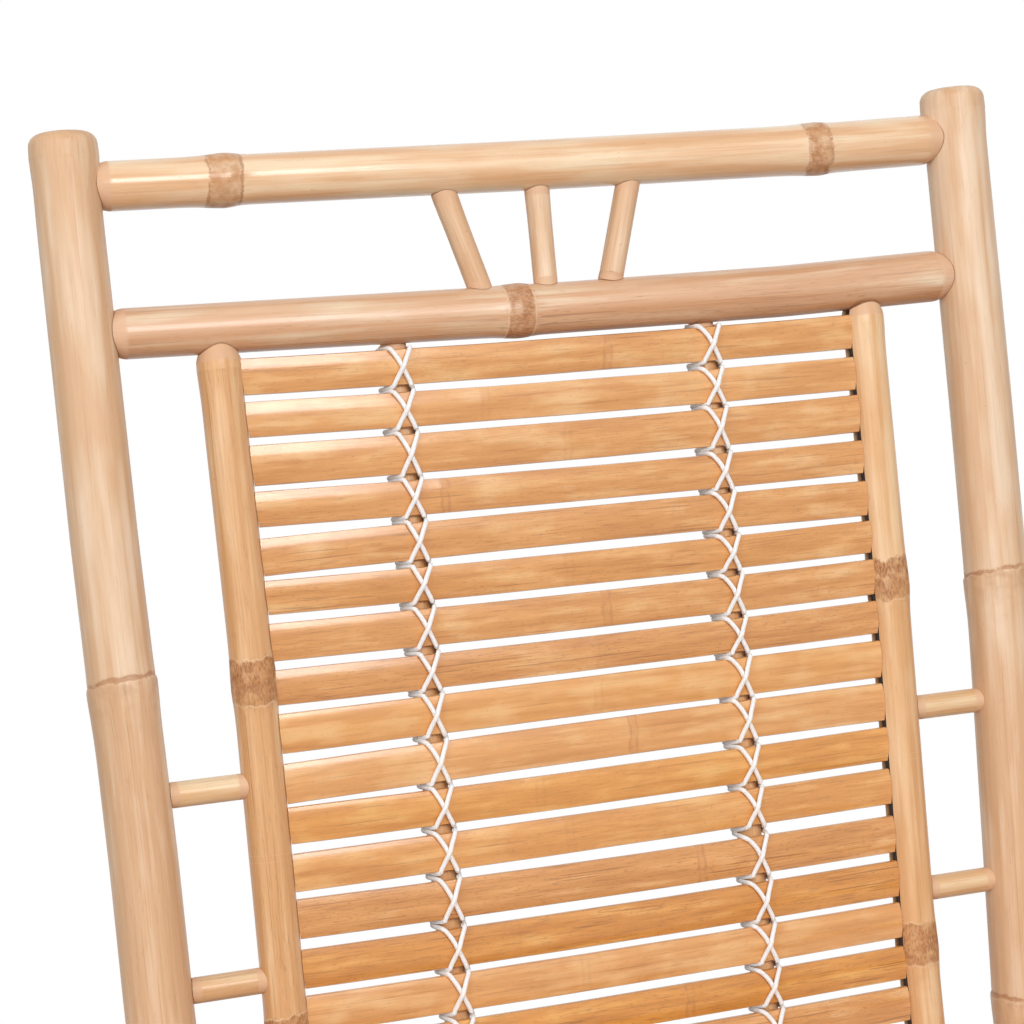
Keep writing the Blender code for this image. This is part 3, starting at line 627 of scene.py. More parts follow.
def close_end(culm, at_end, angles, points, faces, first, hollow, end_loss):
    """Add what closes the last row of points: the hollow of a coped end, or the dome of a tip."""
    sides = len(angles)
    edge = culm.length if at_end else 0.0
    centre, direction = culm.axis(edge)
    if hollow is not None:
        spokes = spokes_round(direction, angles)
        loops = [culm.axis(hollow)[0] + spokes * float(culm.radius(edge)) * (1 - end_loss) * COPE_WALL]
        last = culm.axis(float(hollow.mean()))[0]
    else:
        outward = direction if at_end else -direction
        rim = np.array(points[first:first + sides])
        loops = [centre + (rim - centre) * share + outward * TIP_DOME * (1 - share ** 2)
                 for share in TIP_INNER]
        last = centre + outward * TIP_DOME
    for loop in loops:
        begin = len(points)
        points += list(loop)
        for k in range(sides):
            after = (k + 1) % sides
            quad = [first + k, first + after, begin + after, begin + k]
            faces.append(quad if at_end else quad[::-1])
        first = begin
    points.append(last)
    faces += fan(first, sides, len(points) - 1, not at_end)


print("rims are relieved by", COPE_RELIEF * 1000, "mm inside")


# %% Loft a culm
def loft_culm(name, culm, finish, culm_nodes=(), start=None, end=None, sides=40, tone=0.0, seed=1, push=None,
              slot=None, lean=0.0):
    """One culm as a closed mesh. start and end are the skins it is coped to, or None for a rounded tip.
    tone is one number or one for each length between nodes, lean how much paler its upper side and darker
    its lower side are painted, as light from above, and slot a direction in which a groove is cut, whose
    inside is painted dark as shade."""
    angles = np.linspace(0, 2 * math.pi, sides, endpoint=False)
    thin = culm.radii[0] < THIN_RADIUS
    end_loss = THIN_END_LOSS if thin else END_LOSS
    rims, hollows, worn = cope_ends(culm, angles, {False: start, True: end}, end_loss)
    low = (rims[False] + worn[False]).max() if False in rims else 0.0
    high = (rims[True] - worn[True]).min() if True in rims else culm.length
    tips = [(0.0, 1)] * (start is None) + [(culm.length, -1)] * (end is None)
    rows = [np.full(sides, place) for place in ring_places(low, high, culm_nodes, tips)]
    if False in rims:
        rows = [rims[False] + step * worn[False] for step in RIM_STEPS] + rows
    if True in rims:
        rows = rows + [rims[True] - step * worn[True] for step in reversed(RIM_STEPS)]
    distances = np.array(rows)

    swelling, marks = node_marks(distances, angles, float(culm.radii[0]), culm_nodes, seed)
    oval = OUT_OF_ROUND * np.cos(2 * angles + seed * OVAL_TURN)[None, :]
    lumps = np.array([[LUMPS * wander(seed, d * LUMPS_PER_METRE, 0.3) for d in distances[:, 0]]]).T
    rim = np.full(distances.shape, FAR)
    for at_end, line in rims.items():
        # Start ends of thick culms and both ends of thin ones get no painted shade line at the rim
        unshaded_offset = 0.0 if at_end and not thin else UNSHADED_RIM_OFFSET
        rim = np.minimum(rim, np.abs(distances - line) / worn[at_end] + unshaded_offset)
    sanded = end_loss * np.clip(1 - rim, 0, 1) ** 2
    radii = culm.radius(distances) * (1 + swelling + oval + lumps - sanded)
    for tip, _ in tips:
        radii *= tip_share(np.abs(distances - tip), float(culm.radius(tip)))
    centres, directions = culm.axis(distances)
    spokes = np.array([spokes_round(direction, angles) for direction in directions.mean(axis=1)])
    sawn_and_shaded = np.zeros(distances.shape)
    if slot is not None:
        facing, half_angle = slot
        turned = np.arccos(np.clip(spokes @ np.array(list(facing)), -1, 1))
        # The slot is cut into the culm, and its inside is also painted dark as shade
        sawn_and_shaded = np.clip((half_angle - turned) / SLOT_BLEND + 0.5, 0, 1)
        radii = radii - SLOT_DEPTH * sawn_and_shaded
    points = centres + spokes * radii[..., None]
    if push is not None:
        points = push(points)
    shift_across, shift_along = (seed * shift for shift in GRAIN_SHIFT)
    grain = np.stack([radii * np.cos(angles) + shift_across, radii * np.sin(angles), distances + shift_along],
                     axis=-1)
    tones = np.atleast_1d(tone)
    between = np.searchsorted([place for place, _ in culm_nodes], distances)
    # Painted light: lean makes the side facing up paler and the side facing down darker, as light from above
    # falls
    tones = tones[np.minimum(between, len(tones) - 1)] + lean * spokes[..., 2]

    points = list(points.reshape(-1, 3))
    faces = stitch(len(rows), sides)
    for at_end in (False, True):
        first = (len(rows) - 1) * sides if at_end else 0
        close_end(culm, at_end, angles, points, faces, first, hollows.get(at_end), end_loss)
    extra = len(points) - distances.size
    marks.update({"rim": rim, "tone": tones, "slot": sawn_and_shaded})
    for key, values in marks.items():
        marks[key] = np.concatenate([values.ravel(), np.full(extra, FAR if key == "rim" else 0.0)])
    ends = np.tile((shift_across, 0.0, shift_along), (extra, 1))
    marks["grain"] = np.concatenate([grain.reshape(-1, 3), ends])
    put_piece(f"bamboo_{name}", np.array(points), faces, marks, finish, name)


print("rings every", RING_STEP * 1000, "mm, and every", NODE_STEP * 1000, "mm at a node")

# %% [markdown]
# ## Posts
#
# Two thick pale culms carry the back. Each changes direction a little at its nodes, which shows against the
# straight white of the background. The kinks are given as sideways offsets, in metres, at each node and
# between.

# %% Rockers, set out first because the posts stand on them
ROCKER_SWEEP = 1.100
ROCKER_HALF_SPAN = 0.475
ROCKER_RADIUS = 0.0225
ROCKER_STEPS = 19
ROCKER_NODES = (0.23, 0.585, 0.84)

rocker_half_angle = math.asin(ROCKER_HALF_SPAN / ROCKER_SWEEP)
rocker_low = ROCKER_RADIUS


def rocker_height(y):
    """Height of a rocker's axis over the floor."""
    return rocker_low + ROCKER_SWEEP - math.sqrt(ROCKER_SWEEP ** 2 - y ** 2)


print("rocker ends rise", round(rocker_height(ROCKER_HALF_SPAN) - rocker_low, 3), "m")

# %% Posts
POST_SPACING = 0.560
POST_SPLAY = 0.0185
POST_RADII = {-1: (0.0206, 0.0188), 1: (0.0206, 0.0191)}
POST_STATIONS = {-1: ((-0.868, 0.0, "ring"), (-0.565, -0.0005, "ring"), (-0.460, -0.0008, None),
                      (-0.380, -0.0001, None), (-0.320, -0.0004, None), (-0.278, -0.0011, "ring"),
                      (-0.200, -0.0016, None), (-0.020, -0.0005, None), (0.0310, 0.0006, None)),
                 1: ((-0.785, 0.0002, "ring"), (-0.535, -0.0002, "ring"), (-0.300, 0.0032, None),
                     (-0.270, 0.0029, "ring"), (-0.160, 0.0015, None), (0.0335, -0.0023, None))}
POST_TONES = {-1: (-0.04, -0.02, 0.0, 0.07, 0.04), 1: (0.0, 0.02, 0.05, 0.16, 0.10)}
CAP_RING = 0.0140
FOOT_ROUNDS = 20


def post_line(side, along):
    """A place on the straight line that a post follows."""
    return on_back(side * (POST_SPACING / 2 + POST_SPLAY * along), along)


foot_along = -CREST.z
for _ in range(FOOT_ROUNDS):
    foot = post_line(1, foot_along)
    foot_along -= (foot.z - rocker_height(foot.y)) / BACK_UP.z
rocker_across = post_line(1, foot_along).x

rockers = {}
for side in SIDES:
    arc = [rocker_half_angle * (k / ROCKER_STEPS - 1) for k in range(2 * ROCKER_STEPS + 1)]
    rockers[side] = Culm([(side * rocker_across, ROCKER_SWEEP * math.sin(angle),
                           rocker_low + ROCKER_SWEEP * (1 - math.cos(angle))) for angle in arc],
                         (ROCKER_RADIUS, ROCKER_RADIUS))

posts = {}
for side, word in SIDES.items():
    chain = [post_line(side, foot_along)]
    chain += [post_line(side, along) + Vector((sway, 0, 0)) for along, sway, _ in POST_STATIONS[side]]
    posts[side] = Culm(chain, POST_RADII[side])
    rings = [(posts[side].reached[k + 1], kind) for k, (_, _, kind) in enumerate(POST_STATIONS[side]) if kind]
    rings.append((posts[side].length - CAP_RING, "cap"))
    loft_culm(f"post_{word}", posts[side], "PALE", rings, start=rockers[side].skin(chain[0]), sides=56,
              tone=POST_TONES[side], seed=3 + side)
print("posts are", round(posts[1].length, 3), "m long")

# %% [markdown]
# ## Crest rail, second rail and spindles
#
# The two rails are golden culms with a harder gloss, coped to the posts. They taper from right to left.
# Three thin spindles fan out between them.

# %% Rails and spindles
CREST_RADII = (0.0141, 0.0155)
SECOND_RADII = (0.0142, 0.0173)
SECOND_SKIN_RADII = (0.0144, 0.0159)
RAIL_DROP = 0.0843
CREST_STATIONS = (-0.1920, 0.0, 0.178)
CREST_SAG = (0.0005, 0.0, -0.0005, 0.0003, 0.0034)
SECOND_STATIONS = (-0.0236, 0.150)
SECOND_SAG = (0.0011, -0.0018, -0.0012, 0.0025)
CREST_SETBACK = (0.0010, 0.0, 0.0, 0.0, 0.0010)
SECOND_SETBACK = (0.0010, 0.0, 0.0012, 0.0025)
SPINDLE_RADIUS = 0.0073
SPINDLE_TOP_SPREAD = 0.0622
SPINDLE_FOOT_SPREAD = 0.0374
SPINDLE_SHIFT = -0.0021


def post_axis(side, along):
    """Point on a post's own, kinked axis."""
    return Vector(posts[side].line(posts[side].nearest(post_line(side, along))))


def rail_between_posts(name, along, radii, stations, sag, setback, kinds=("band",), finish="GOLDEN", **looks):
    """A rail that bends a little at its stations, coped to both posts."""
    ends = [post_axis(-1, along), post_axis(1, along)]
    inner = [on_back(across, along) for across in stations]
    chain = [point + BACK_UP * up - BACK_OUT * back
             for point, up, back in zip([ends[0], *inner, ends[1]], sag, setback)]
    rail = Culm(chain, radii)
    loft_culm(name, rail, finish, [(rail.reached[k + 1], kind) for k, kind in enumerate(kinds) if kind],
              start=posts[-1].skin(ends[0]), end=posts[1].skin(ends[1]), **looks)
    return rail


crest = rail_between_posts("crest_rail", 0.0, CREST_RADII, CREST_STATIONS, CREST_SAG, CREST_SETBACK, seed=7,
                           kinds=("band", None, "blotch"), tone=(0.08, 0.14, 0.08))
# The second rail is painted paler on its upper side and darker underneath (lean), as light from above
second = rail_between_posts("second_rail", -RAIL_DROP, SECOND_SKIN_RADII, SECOND_STATIONS, SECOND_SAG,
                            SECOND_SETBACK, seed=12, kinds=("collar",), finish="BROWN", tone=(-0.01, -0.06),
                            lean=0.10)


def rod(name, first, last, first_culm, last_culm, radius, finish, nodes=(), **looks):
    """A straight pole coped to two others."""
    made = Culm([first, last], (radius, radius))
    loft_culm(name, made, finish, nodes, start=first_culm.skin(first), end=last_culm.skin(last), **looks)
    return made


SPINDLE_NODES = {"left": (0.0685, "cap"), "middle": (0.0685, "cap"), "right": (0.0170, "ring")}

for number, (word, share) in enumerate((("left", -1), ("middle", 0), ("right", 1))):
    spindle_foot = on_back(share * SPINDLE_FOOT_SPREAD + SPINDLE_SHIFT, -RAIL_DROP)
    spindle_top = on_back(share * SPINDLE_TOP_SPREAD + SPINDLE_SHIFT, 0.0)
    rod(f"spindle_{word}", spindle_foot, spindle_top, second, crest, SPINDLE_RADIUS, "PALE",
        [SPINDLE_NODES[word]], sides=28, seed=20 + number, tone=0.02)
print("crest rail", round(crest.length, 3), "m, second rail", round(second.length, 3), "m")

# %% [markdown]
# ## The slatted panel
#
# A slat is split from a thick culm: its front is the round skin, its back is flat and its edges are cut.
# Its ends are cut to the round side rails. Each slat has its own width, as the maker found it, and lies a
# trace out of level.

# %% Side rails and rungs
PANEL_HALF_WIDTH = 0.2043
PANEL_SPLAY = 0.0075
PANEL_RAIL_RADIUS = 0.0124
PANEL_RAIL_NODES = {-1: (-0.490, -0.285, -0.108), 1: (-0.492, -0.267, -0.108)}
PANEL_SWAY = {-1: (0.0, 0.0001, 0.0015, 0.0003, 0.0), 1: (0.0, -0.0016, 0.0004, -0.0008, -0.0010)}
PANEL_NODE_KINDS = ("knuckle", "knuckle", "cap")
PANEL_TONES = {-1: (-0.02, -0.04, 0.0, 0.06), 1: (0.05, 0.06, 0.20, 0.18)}
TOP_TRIM = {-1: 0.0, 1: 0.0025}
SLOT_ANGLES = {-1: (math.radians(-24), math.radians(12)), 1: (math.radians(-24), math.radians(22))}
RUNG_RADIUS = 0.0075
RUNG_TONES = {-1: {"upper": 0.22, "lower": 0.0}, 1: {"upper": 0.06, "lower": 0.06}}
RUNG_DROPS = {-1: {"upper": 0.345, "lower": 0.456}, 1: {"upper": 0.349, "lower": 0.461}}
SLAT_WIDTH = 0.0219
SLAT_GAP = 0.0041
SLAT_TOP_GAP = 0.0031
SLAT_OFFSETS_MM = (-1, -0.8, 1.2, -1.3, -0.3, -2, 0, -1.6, 1, 1.3, -0.7, 0.7, 2.6, 1.9, -0.3, -0.4, -0.5,
                   0.5, 0)
LACING_POLE_SPREAD = 0.0975
BOTTOM_RAIL_RADIUS = 0.0145
BOTTOM_NODE = 0.028


def sawn_slot(side, front):
    """Direction and half angle of the slot that takes the ends of the slats."""
    back, fore = SLOT_ANGLES[side]
    turn = (back + fore) / 2
    return Vector((-side, 0, 0)) * math.cos(turn) + front * math.sin(turn), (fore - back) / 2


def slat_edges(first, widths, gap, sign):
    """Near and far edges of slats laid one after another."""
    edges = []
    near = first
    for width in widths:
        edges.append((near, near + sign * width))
        near = edges[-1][1] + sign * gap
    return edges


def second_face(across):
    """Where the lower face of the second rail is, along the back."""
    return -RAIL_DROP - SECOND_RADII[0] - (SECOND_RADII[1] - SECOND_RADII[0]) * (across / POST_SPACING + 0.5)


back_edges = slat_edges(second_face(LACING_POLE_SPREAD) - SLAT_TOP_GAP,
                        [SLAT_WIDTH + offset * MM for offset in SLAT_OFFSETS_MM], SLAT_GAP, -1)
bottom_face = back_edges[-1][1] - SLAT_GAP
bottom_along = bottom_face - BOTTOM_RAIL_RADIUS
bottom = rail_between_posts("back_bottom_rail", bottom_along, (BOTTOM_RAIL_RADIUS, BOTTOM_RAIL_RADIUS),
                            (BOTTOM_NODE,), (0, 0, 0), (0, 0, 0), seed=15)

panel_rails = {}
for side, word in SIDES.items():
    stations = [bottom_along, *PANEL_RAIL_NODES[side], -RAIL_DROP]
    chain = [on_back(side * (PANEL_HALF_WIDTH + PANEL_SPLAY * along) + sway, along)
             for along, sway in zip(stations, PANEL_SWAY[side])]
    rail = Culm(chain, (PANEL_RAIL_RADIUS, PANEL_RAIL_RADIUS))
    panel_rails[side] = rail
    under, way, round_radius = second.skin(chain[-1])
    trimmed = under + np.array(BACK_OUT) * TOP_TRIM[side]
    loft_culm(f"back_side_rail_{word}", rail, "HONEY",
              [(rail.reached[k + 1], kind) for k, kind in enumerate(PANEL_NODE_KINDS)],
              start=bottom.skin(chain[0]), end=(trimmed, way, round_radius), seed=30 + side,
              tone=PANEL_TONES[side], sides=72, slot=sawn_slot(side, BACK_OUT))
    for level, drop in RUNG_DROPS[side].items():
        inner_end = on_back(side * (PANEL_HALF_WIDTH - PANEL_SPLAY * drop), -drop)
        rod(f"back_rung_{word}_{level}", inner_end, post_axis(side, -drop), rail, posts[side], RUNG_RADIUS,
            "THIN", sides=28, seed=40 + side * 3 + len(level), tone=RUNG_TONES[side][level])
print(len(back_edges), "slats, panel ends", round(-bottom_face, 3), "m below the crest")

# %% Loft a slat
SLAT_BACK = 0.0008
SLAT_EDGE = 0.0046
SLAT_CROWN = 0.0058
SLAT_ARRIS = 0.0010
SLAT_EDGE_SHARE, SLAT_BACK_SHARE = 1.045, 0.97
SLAT_WAVER, BOWS_PER_METRE, WAVES_PER_METRE = 0.00025, 7, 16
SLAT_GRAIN_SHIFT = (0.23, 0.71)
SHORT_STREAKS = 2.5
KNOT_SPREAD, KNOT_WAVER = 0.17, 0.0010
KNOT_HEIGHT, KNOT_REACH, KNOT_BAND = 0.00035, 0.0035, 0.0022
KNOT_BROWN, KNOT_PALE = 0.30, 0.10
OVAL_ALLOWANCE = 1.01
SLAT_STATIONS = 64
SLAT_ARC = 14
SLAT_RISE_MM = (-0.3, -0.9, -0.1, -1.0, 0.0, -0.4, 0.0, 0.7, 1.0, 2.2, 1.1, 1.7, 0.0, 0.7, 1.0, 1.2, 1.0,
                0.5, 0.0)
SLAT_BOW_MM = 1.5
ODD_BOWS_MM = {5: -1.1, 9: 0.0, 10: -1.2, 12: 0.8}
SLAT_SHIFT_MM = {1: -0.6, 2: -0.3, 5: 0.9, 7: -0.2, 8: -0.4, 9: 0.4, 10: 1.0, 12: 0.3}
SLAT_TRIM_MM = {2: 0.6, 12: 0.6, 13: 1.7, 14: 1.3, 15: -0.4, 16: 0.9}
SLAT_ROLL_DEGREES = (4.5, 2.0, 3.5, 3.0, 3.0, 4.5, 3.5, 1.5, 3.0, 1.0, 2.5, 0.5, 1.5, 2.0, 0.5, 1.5, 1.0,
                     1.0, 1.0)


def slat_lie(number, across):
    """How far a slat stands above its level line: its right end rises and both ends bow up."""
    share = across / PANEL_HALF_WIDTH
    return (SLAT_RISE_MM[number - 1] * share + ODD_BOWS_MM.get(number, SLAT_BOW_MM) * share ** 2) * MM


def slat_profile(crown):
    """Section of a slat: share of its half width from the lower edge up, and height off the panel's plane."""
    arc = np.linspace(-1, 1, SLAT_ARC)
    front = [(t, SLAT_EDGE + (crown - SLAT_EDGE) * (1 - t * t)) for t in arc]
    top_edge = [(SLAT_EDGE_SHARE, SLAT_EDGE - SLAT_ARRIS), (SLAT_EDGE_SHARE, SLAT_BACK + SLAT_ARRIS),
                (SLAT_BACK_SHARE, SLAT_BACK)]
    low_edge = [(-t, out) for t, out in reversed(top_edge)]
    return front + top_edge + low_edge


def loft_slat(place, near, far, crown, ends, lie, roll, seed):
    """Points, faces and marks of one slat. ends gives where its two ends meet the side rails."""
    profile = slat_profile(crown)
    middle, half = (near + far) / 2, abs(far - near) / 2 / SLAT_EDGE_SHARE
    upward = 1 if near > far else -1
    count = len(profile)
    points, marks = [], {"grain": [], "scar": []}
    knot = wander(seed, 0.7, 2.2) * KNOT_SPREAD
    shift_across, shift_along = (seed * shift for shift in SLAT_GRAIN_SHIFT)
    for s in np.linspace(0, 1, SLAT_STATIONS):
        for t, flat_out in profile:
            out = flat_out + roll * half * (1 + t)
            along = middle + upward * half * t
            left, right_end = ends(along, out)
            across = left + (right_end - left) * s
            bow = SLAT_WAVER * wander(seed, across * BOWS_PER_METRE, 5.0)
            edge_wave = SLAT_WAVER * wander(seed, across * WAVES_PER_METRE, 1.0 + (t > 0) * 3)
            from_knot = across - knot - KNOT_WAVER * wander(seed, t * 2, 9.0)
            ridge = KNOT_HEIGHT * math.exp(-(from_knot / KNOT_REACH) ** 2) if flat_out >= SLAT_EDGE else 0.0
            points.append(place(across, along + lie(across) + edge_wave, out + bow + ridge))
            marks["grain"].append((along + shift_across, out, across * SHORT_STREAKS + shift_along))
            marks["scar"].append(from_knot)
    faces = stitch(SLAT_STATIONS, count)
    last = (SLAT_STATIONS - 1) * count
    faces.append(list(range(count - 1, -1, -1)))
    faces.append(list(range(last, last + count)))
    if upward < 0:
        faces = [face[::-1] for face in faces]
    marks = {key: np.array(values) for key, values in marks.items()}
    plain = {"band": KNOT_BAND, "brown": KNOT_BROWN if seed % 3 == 0 else KNOT_PALE, "rim": FAR}
    marks.update({key: np.full(len(points), value) for key, value in plain.items()})
    return np.array([list(p) for p in points]), faces, marks


def end_inset(out):
    """How far from a side rail's axis a slat ends, at a height off the panel's plane."""
    return math.sqrt((PANEL_RAIL_RADIUS * OVAL_ALLOWANCE + FIT) ** 2 - out ** 2)


def back_ends(along, out):
    """Where a slat of the back ends, left and right."""
    axes = [float(panel_rails[side].axis(along - bottom_along)[0][0]) for side in SIDES]
    return [axis_x - side * end_inset(out) for side, axis_x in zip(SIDES, axes)]


SLAT_TONES = (-0.02, 0.03, -0.01, -0.03, -0.04, -0.05, -0.04, -0.08, 0.06, 0.05, 0.0, 0.0, -0.09, -0.10,
              0.04, -0.08, -0.06, 0.0, -0.05)
SLAT_GOLD = {1: 0.1, 6: 0.2, 9: 0.25, 11: 0.8, 12: 0.4, 14: 0.8, 16: 1.0}
slat_rolls = [math.tan(math.radians(degrees)) for degrees in SLAT_ROLL_DEGREES]
laid_edges = []
for number, (near, far) in enumerate(back_edges, start=1):
    shift = SLAT_SHIFT_MM.get(number, 0.0) * MM
    laid_edges.append((near + shift - SLAT_TRIM_MM.get(number, 0.0) * MM, far + shift))
    points, faces, marks = loft_slat(on_back, *laid_edges[-1], SLAT_CROWN, back_ends,
                                     partial(slat_lie, number), slat_rolls[number - 1], seed=50 + number)
    marks["tone"] = np.full(len(points), SLAT_TONES[number - 1])
    marks["gold"] = np.full(len(points), SLAT_GOLD.get(number, 0.0))
    put_piece(f"split_back_slat_{number:02d}", points, faces, marks, "SPLIT", f"back_slat_{number:02d}")
print("slats are", round((back_edges[0][0] - back_edges[0][1]) * 1000, 1), "mm wide at the top")

# %% [markdown]
# ## Lacing
#
# One cord laces each side of the panel. It goes down as one strand and comes back up as the other. Each
# strand crosses the front of a slat, dips through the gap, goes round the back of the pole and comes out
# for the next slat. The route is a short list of points for each slat, and a smooth curve through them
# gives the cord its slack corners. The second strand rides over the first where they cross.


# %% Route of a lacing cord
LACING_POLE_RADIUS = 0.0076
POLE_GAP = 0.0003
POLE_AXIS = SLAT_BACK - POLE_GAP - LACING_POLE_RADIUS
CORD_RADIUS = 0.00140
CROSS_HALF, CROSS_WIDER = 0.0050, 0.0006
CROSS_SHARES = (-1.06, -0.85, -0.4, 0.0, 0.4, 0.85, 1.06)
EDGE_DIP = 0.45
TURN_STEPS, CURVE_STEPS = 6, 6
STRAND_STEP = 0.9
# How far the second strand rides over the first, in radii of the cord
LIFT_BEHIND, LIFT_IN_FRONT, LIFT_REACH = 2.1, 2.0, 0.42
SLACK_FROM = -0.8
LEFT_SLACK = {-1: 1.20, 1: 1.55}
SLACK_SPREAD = 0.3


def lacing_route(place, across, edges, faces, crown, pole_axis, lies, rolls):
    """Points of one cord, down the panel and back. lies and rolls are how each slat stands and tilts."""
    sign = 1 if edges[0][1] > edges[0][0] else -1
    bounds = [faces[0], *(edge for pair in edges for edge in pair), faces[1]]
    gaps = [(a + b) / 2 for a, b in zip(bounds[::2], bounds[1::2])]
    proud = CORD_RADIUS + FIT

    def turn(gap, level):
        beside = STRAND_STEP * CORD_RADIUS * (sign if level else -sign)
        route = []
        for a in (math.pi * k / TURN_STEPS for k in range(TURN_STEPS + 1)):
            spread = LACING_POLE_RADIUS + proud + level * LIFT_BEHIND * CORD_RADIUS * math.sin(a) ** 2
            route.append(place(across + spread * math.cos(a), gap + beside * math.cos(a),
                               pole_axis - spread * math.sin(a)))
        return route

    def cross(index, level, backwards):
        near, far = edges[index]
        half = (far - near) / 2
        middle = (near + far) / 2 + lies[index]
        route = []
        for share in CROSS_SHARES:
            skin = SLAT_EDGE + (crown - SLAT_EDGE) * (1 - min(1, share * share))
            over = level * LIFT_IN_FRONT * CORD_RADIUS * math.exp(-(share / LIFT_REACH) ** 2)
            outer = proud * (EDGE_DIP if abs(share) > 1 else 1.0)
            rolled = rolls[index] * abs(half) * (1 - share)
            lean = -share if backwards else share
            if level == 0 and lean < SLACK_FROM:
                slack = LEFT_SLACK[1 if across > 0 else -1] + SLACK_SPREAD * wander(index, across * 30, 2.5)
                lean *= slack if abs(share) > 1 else (1 + slack) / 2
            wide = CROSS_HALF + CROSS_WIDER * level
            route.append(place(across + wide * lean, middle + half * share, skin + outer + over + rolled))
        return route[::-1] if backwards else route

    route = turn(gaps[0], 0)[2:]
    for index in range(len(edges)):
        route += cross(index, 0, False)
        route += turn(gaps[index + 1], 0)
    for index in reversed(range(len(edges))):
        route += cross(index, 1, True)
        route += turn(gaps[index], 1) if index else turn(gaps[0], 1)[:TURN_STEPS - 1]
    return np.array([list(p) for p in route])


def smooth(route, step):
    """A smooth curve through the points, in even steps."""
    padded = np.vstack([2 * route[0] - route[1], route, 2 * route[-1] - route[-2]])
    pieces = []
    for k in range(1, len(padded) - 2):
        a, b, c, d = padded[k - 1:k + 3]
        t = np.linspace(0, 1, CURVE_STEPS, endpoint=False)[:, None]
        pieces.append(0.5 * (2 * b + (c - a) * t + (2 * a - 5 * b + 4 * c - d) * t ** 2
                             + (3 * b - a - 3 * c + d) * t ** 3))
    dense = np.vstack([*pieces, route[-1:]])
    run = np.concatenate([[0.0], np.cumsum(np.linalg.norm(np.diff(dense, axis=0), axis=1))])
    marks = np.linspace(0, run[-1], max(2, round(run[-1] / step)))
    return np.stack([np.interp(marks, run, dense[:, axis]) for axis in range(3)], axis=-1), run[-1]


print("lacing cord is", CORD_RADIUS * 2000, "mm thick")

# %% [markdown]
# A tube along a curve needs a frame that doesn't spin. Each ring's frame is the one before it, turned by
# the least amount that makes it square to the curve.


# %% Lay the cord
CORD_SIDES = 8
CORD_STEP = 0.0016
FIRST_GUIDE = (1.0, 0.3, 0.2)


def lay_cord(name, route):
    """A round cord along a route, as one piece."""
    path, length = smooth(route, CORD_STEP)
    tangents = np.gradient(path, axis=0)
    tangents /= np.linalg.norm(tangents, axis=1, keepdims=True)
    angles = np.linspace(0, 2 * math.pi, CORD_SIDES, endpoint=False)
    normal = np.cross(tangents[0], FIRST_GUIDE)
    normal /= np.linalg.norm(normal)
    points, twist = [], []
    for k, (centre, tangent) in enumerate(zip(path, tangents)):
        normal = normal - tangent * normal.dot(tangent)
        normal /= np.linalg.norm(normal)
        other = np.cross(tangent, normal)
        ring = np.outer(np.cos(angles), normal) + np.outer(np.sin(angles), other)
        points.append(centre + CORD_RADIUS * ring)
        twist.append(angles * 2 + k * length / len(path) * 2 * math.pi * 1000 / TWIST_MM)
    tips = [path[:1] - tangents[:1] * CORD_RADIUS / 2, path[-1:] + tangents[-1:] * CORD_RADIUS / 2]
    points = np.vstack([*points, *tips])
    faces = stitch(len(path), CORD_SIDES)
    faces += fan(0, CORD_SIDES, len(points) - 2, True)
    faces += fan((len(path) - 1) * CORD_SIDES, CORD_SIDES, len(points) - 1, False)
    marks = {"twist": np.concatenate([np.concatenate(twist), [0.0, 0.0]])}
    put_piece(f"cord_{name}", points, faces, marks, "CORD", name)
    print(f"{name}: {length:.2f} m of cord")


for side, word in SIDES.items():
    across = side * LACING_POLE_SPREAD
    rod(f"back_pole_{word}", on_back(across, bottom_along, POLE_AXIS), on_back(across, -RAIL_DROP, POLE_AXIS),
        bottom, second, LACING_POLE_RADIUS, "HONEY", sides=28, seed=90 + side)
    lies = [slat_lie(number, across) for number in range(1, len(laid_edges) + 1)]
    route = lacing_route(on_back, across, laid_edges, (second_face(across), bottom_face), SLAT_CROWN,
                         POLE_AXIS, lies, slat_rolls)
    lay_cord(f"back_lacing_{word}", route)

# %% [markdown]
# ## Rockers, arms and legs
#
# The rockers are culms bent over heat to an arc. The arms lie against the outer sides of the posts,
# hollowed a little to house them, and rest on the coped tops of the front legs.

# %% Rockers
for side, word in SIDES.items():
    culm = rockers[side]
    rings = [(share * culm.length, "ring") for share in ROCKER_NODES]
    loft_culm(f"rocker_{word}", culm, "PALE", rings, sides=36, seed=100 + side, tone=0.02)
print("rockers are", round(rockers[1].length, 3), "m long")

# %% Arms and legs
ARM_DROP = 0.503
ARM_RADIUS = 0.0185
ARM_HOUSING = 0.006
ARM_FRONT_HEIGHT = 0.528
ARM_REAR_OVERHANG = 0.045
ARM_FRONT_OVERHANG = 0.055
ARM_NODE_SHARES = (0.36, 0.80)
LEG_TOP_FORWARD = 0.368
LEG_FOOT_FORWARD = 0.338
LEG_RADII = (0.0180, 0.0160)
LEG_NODE_SHARE = 0.40
REAR_LEG_DROP = 0.652
REAR_LEG_FOOT_BEHIND = 0.270
REAR_LEG_RADIUS = 0.0150
REAR_LEG_NODE = 0.150

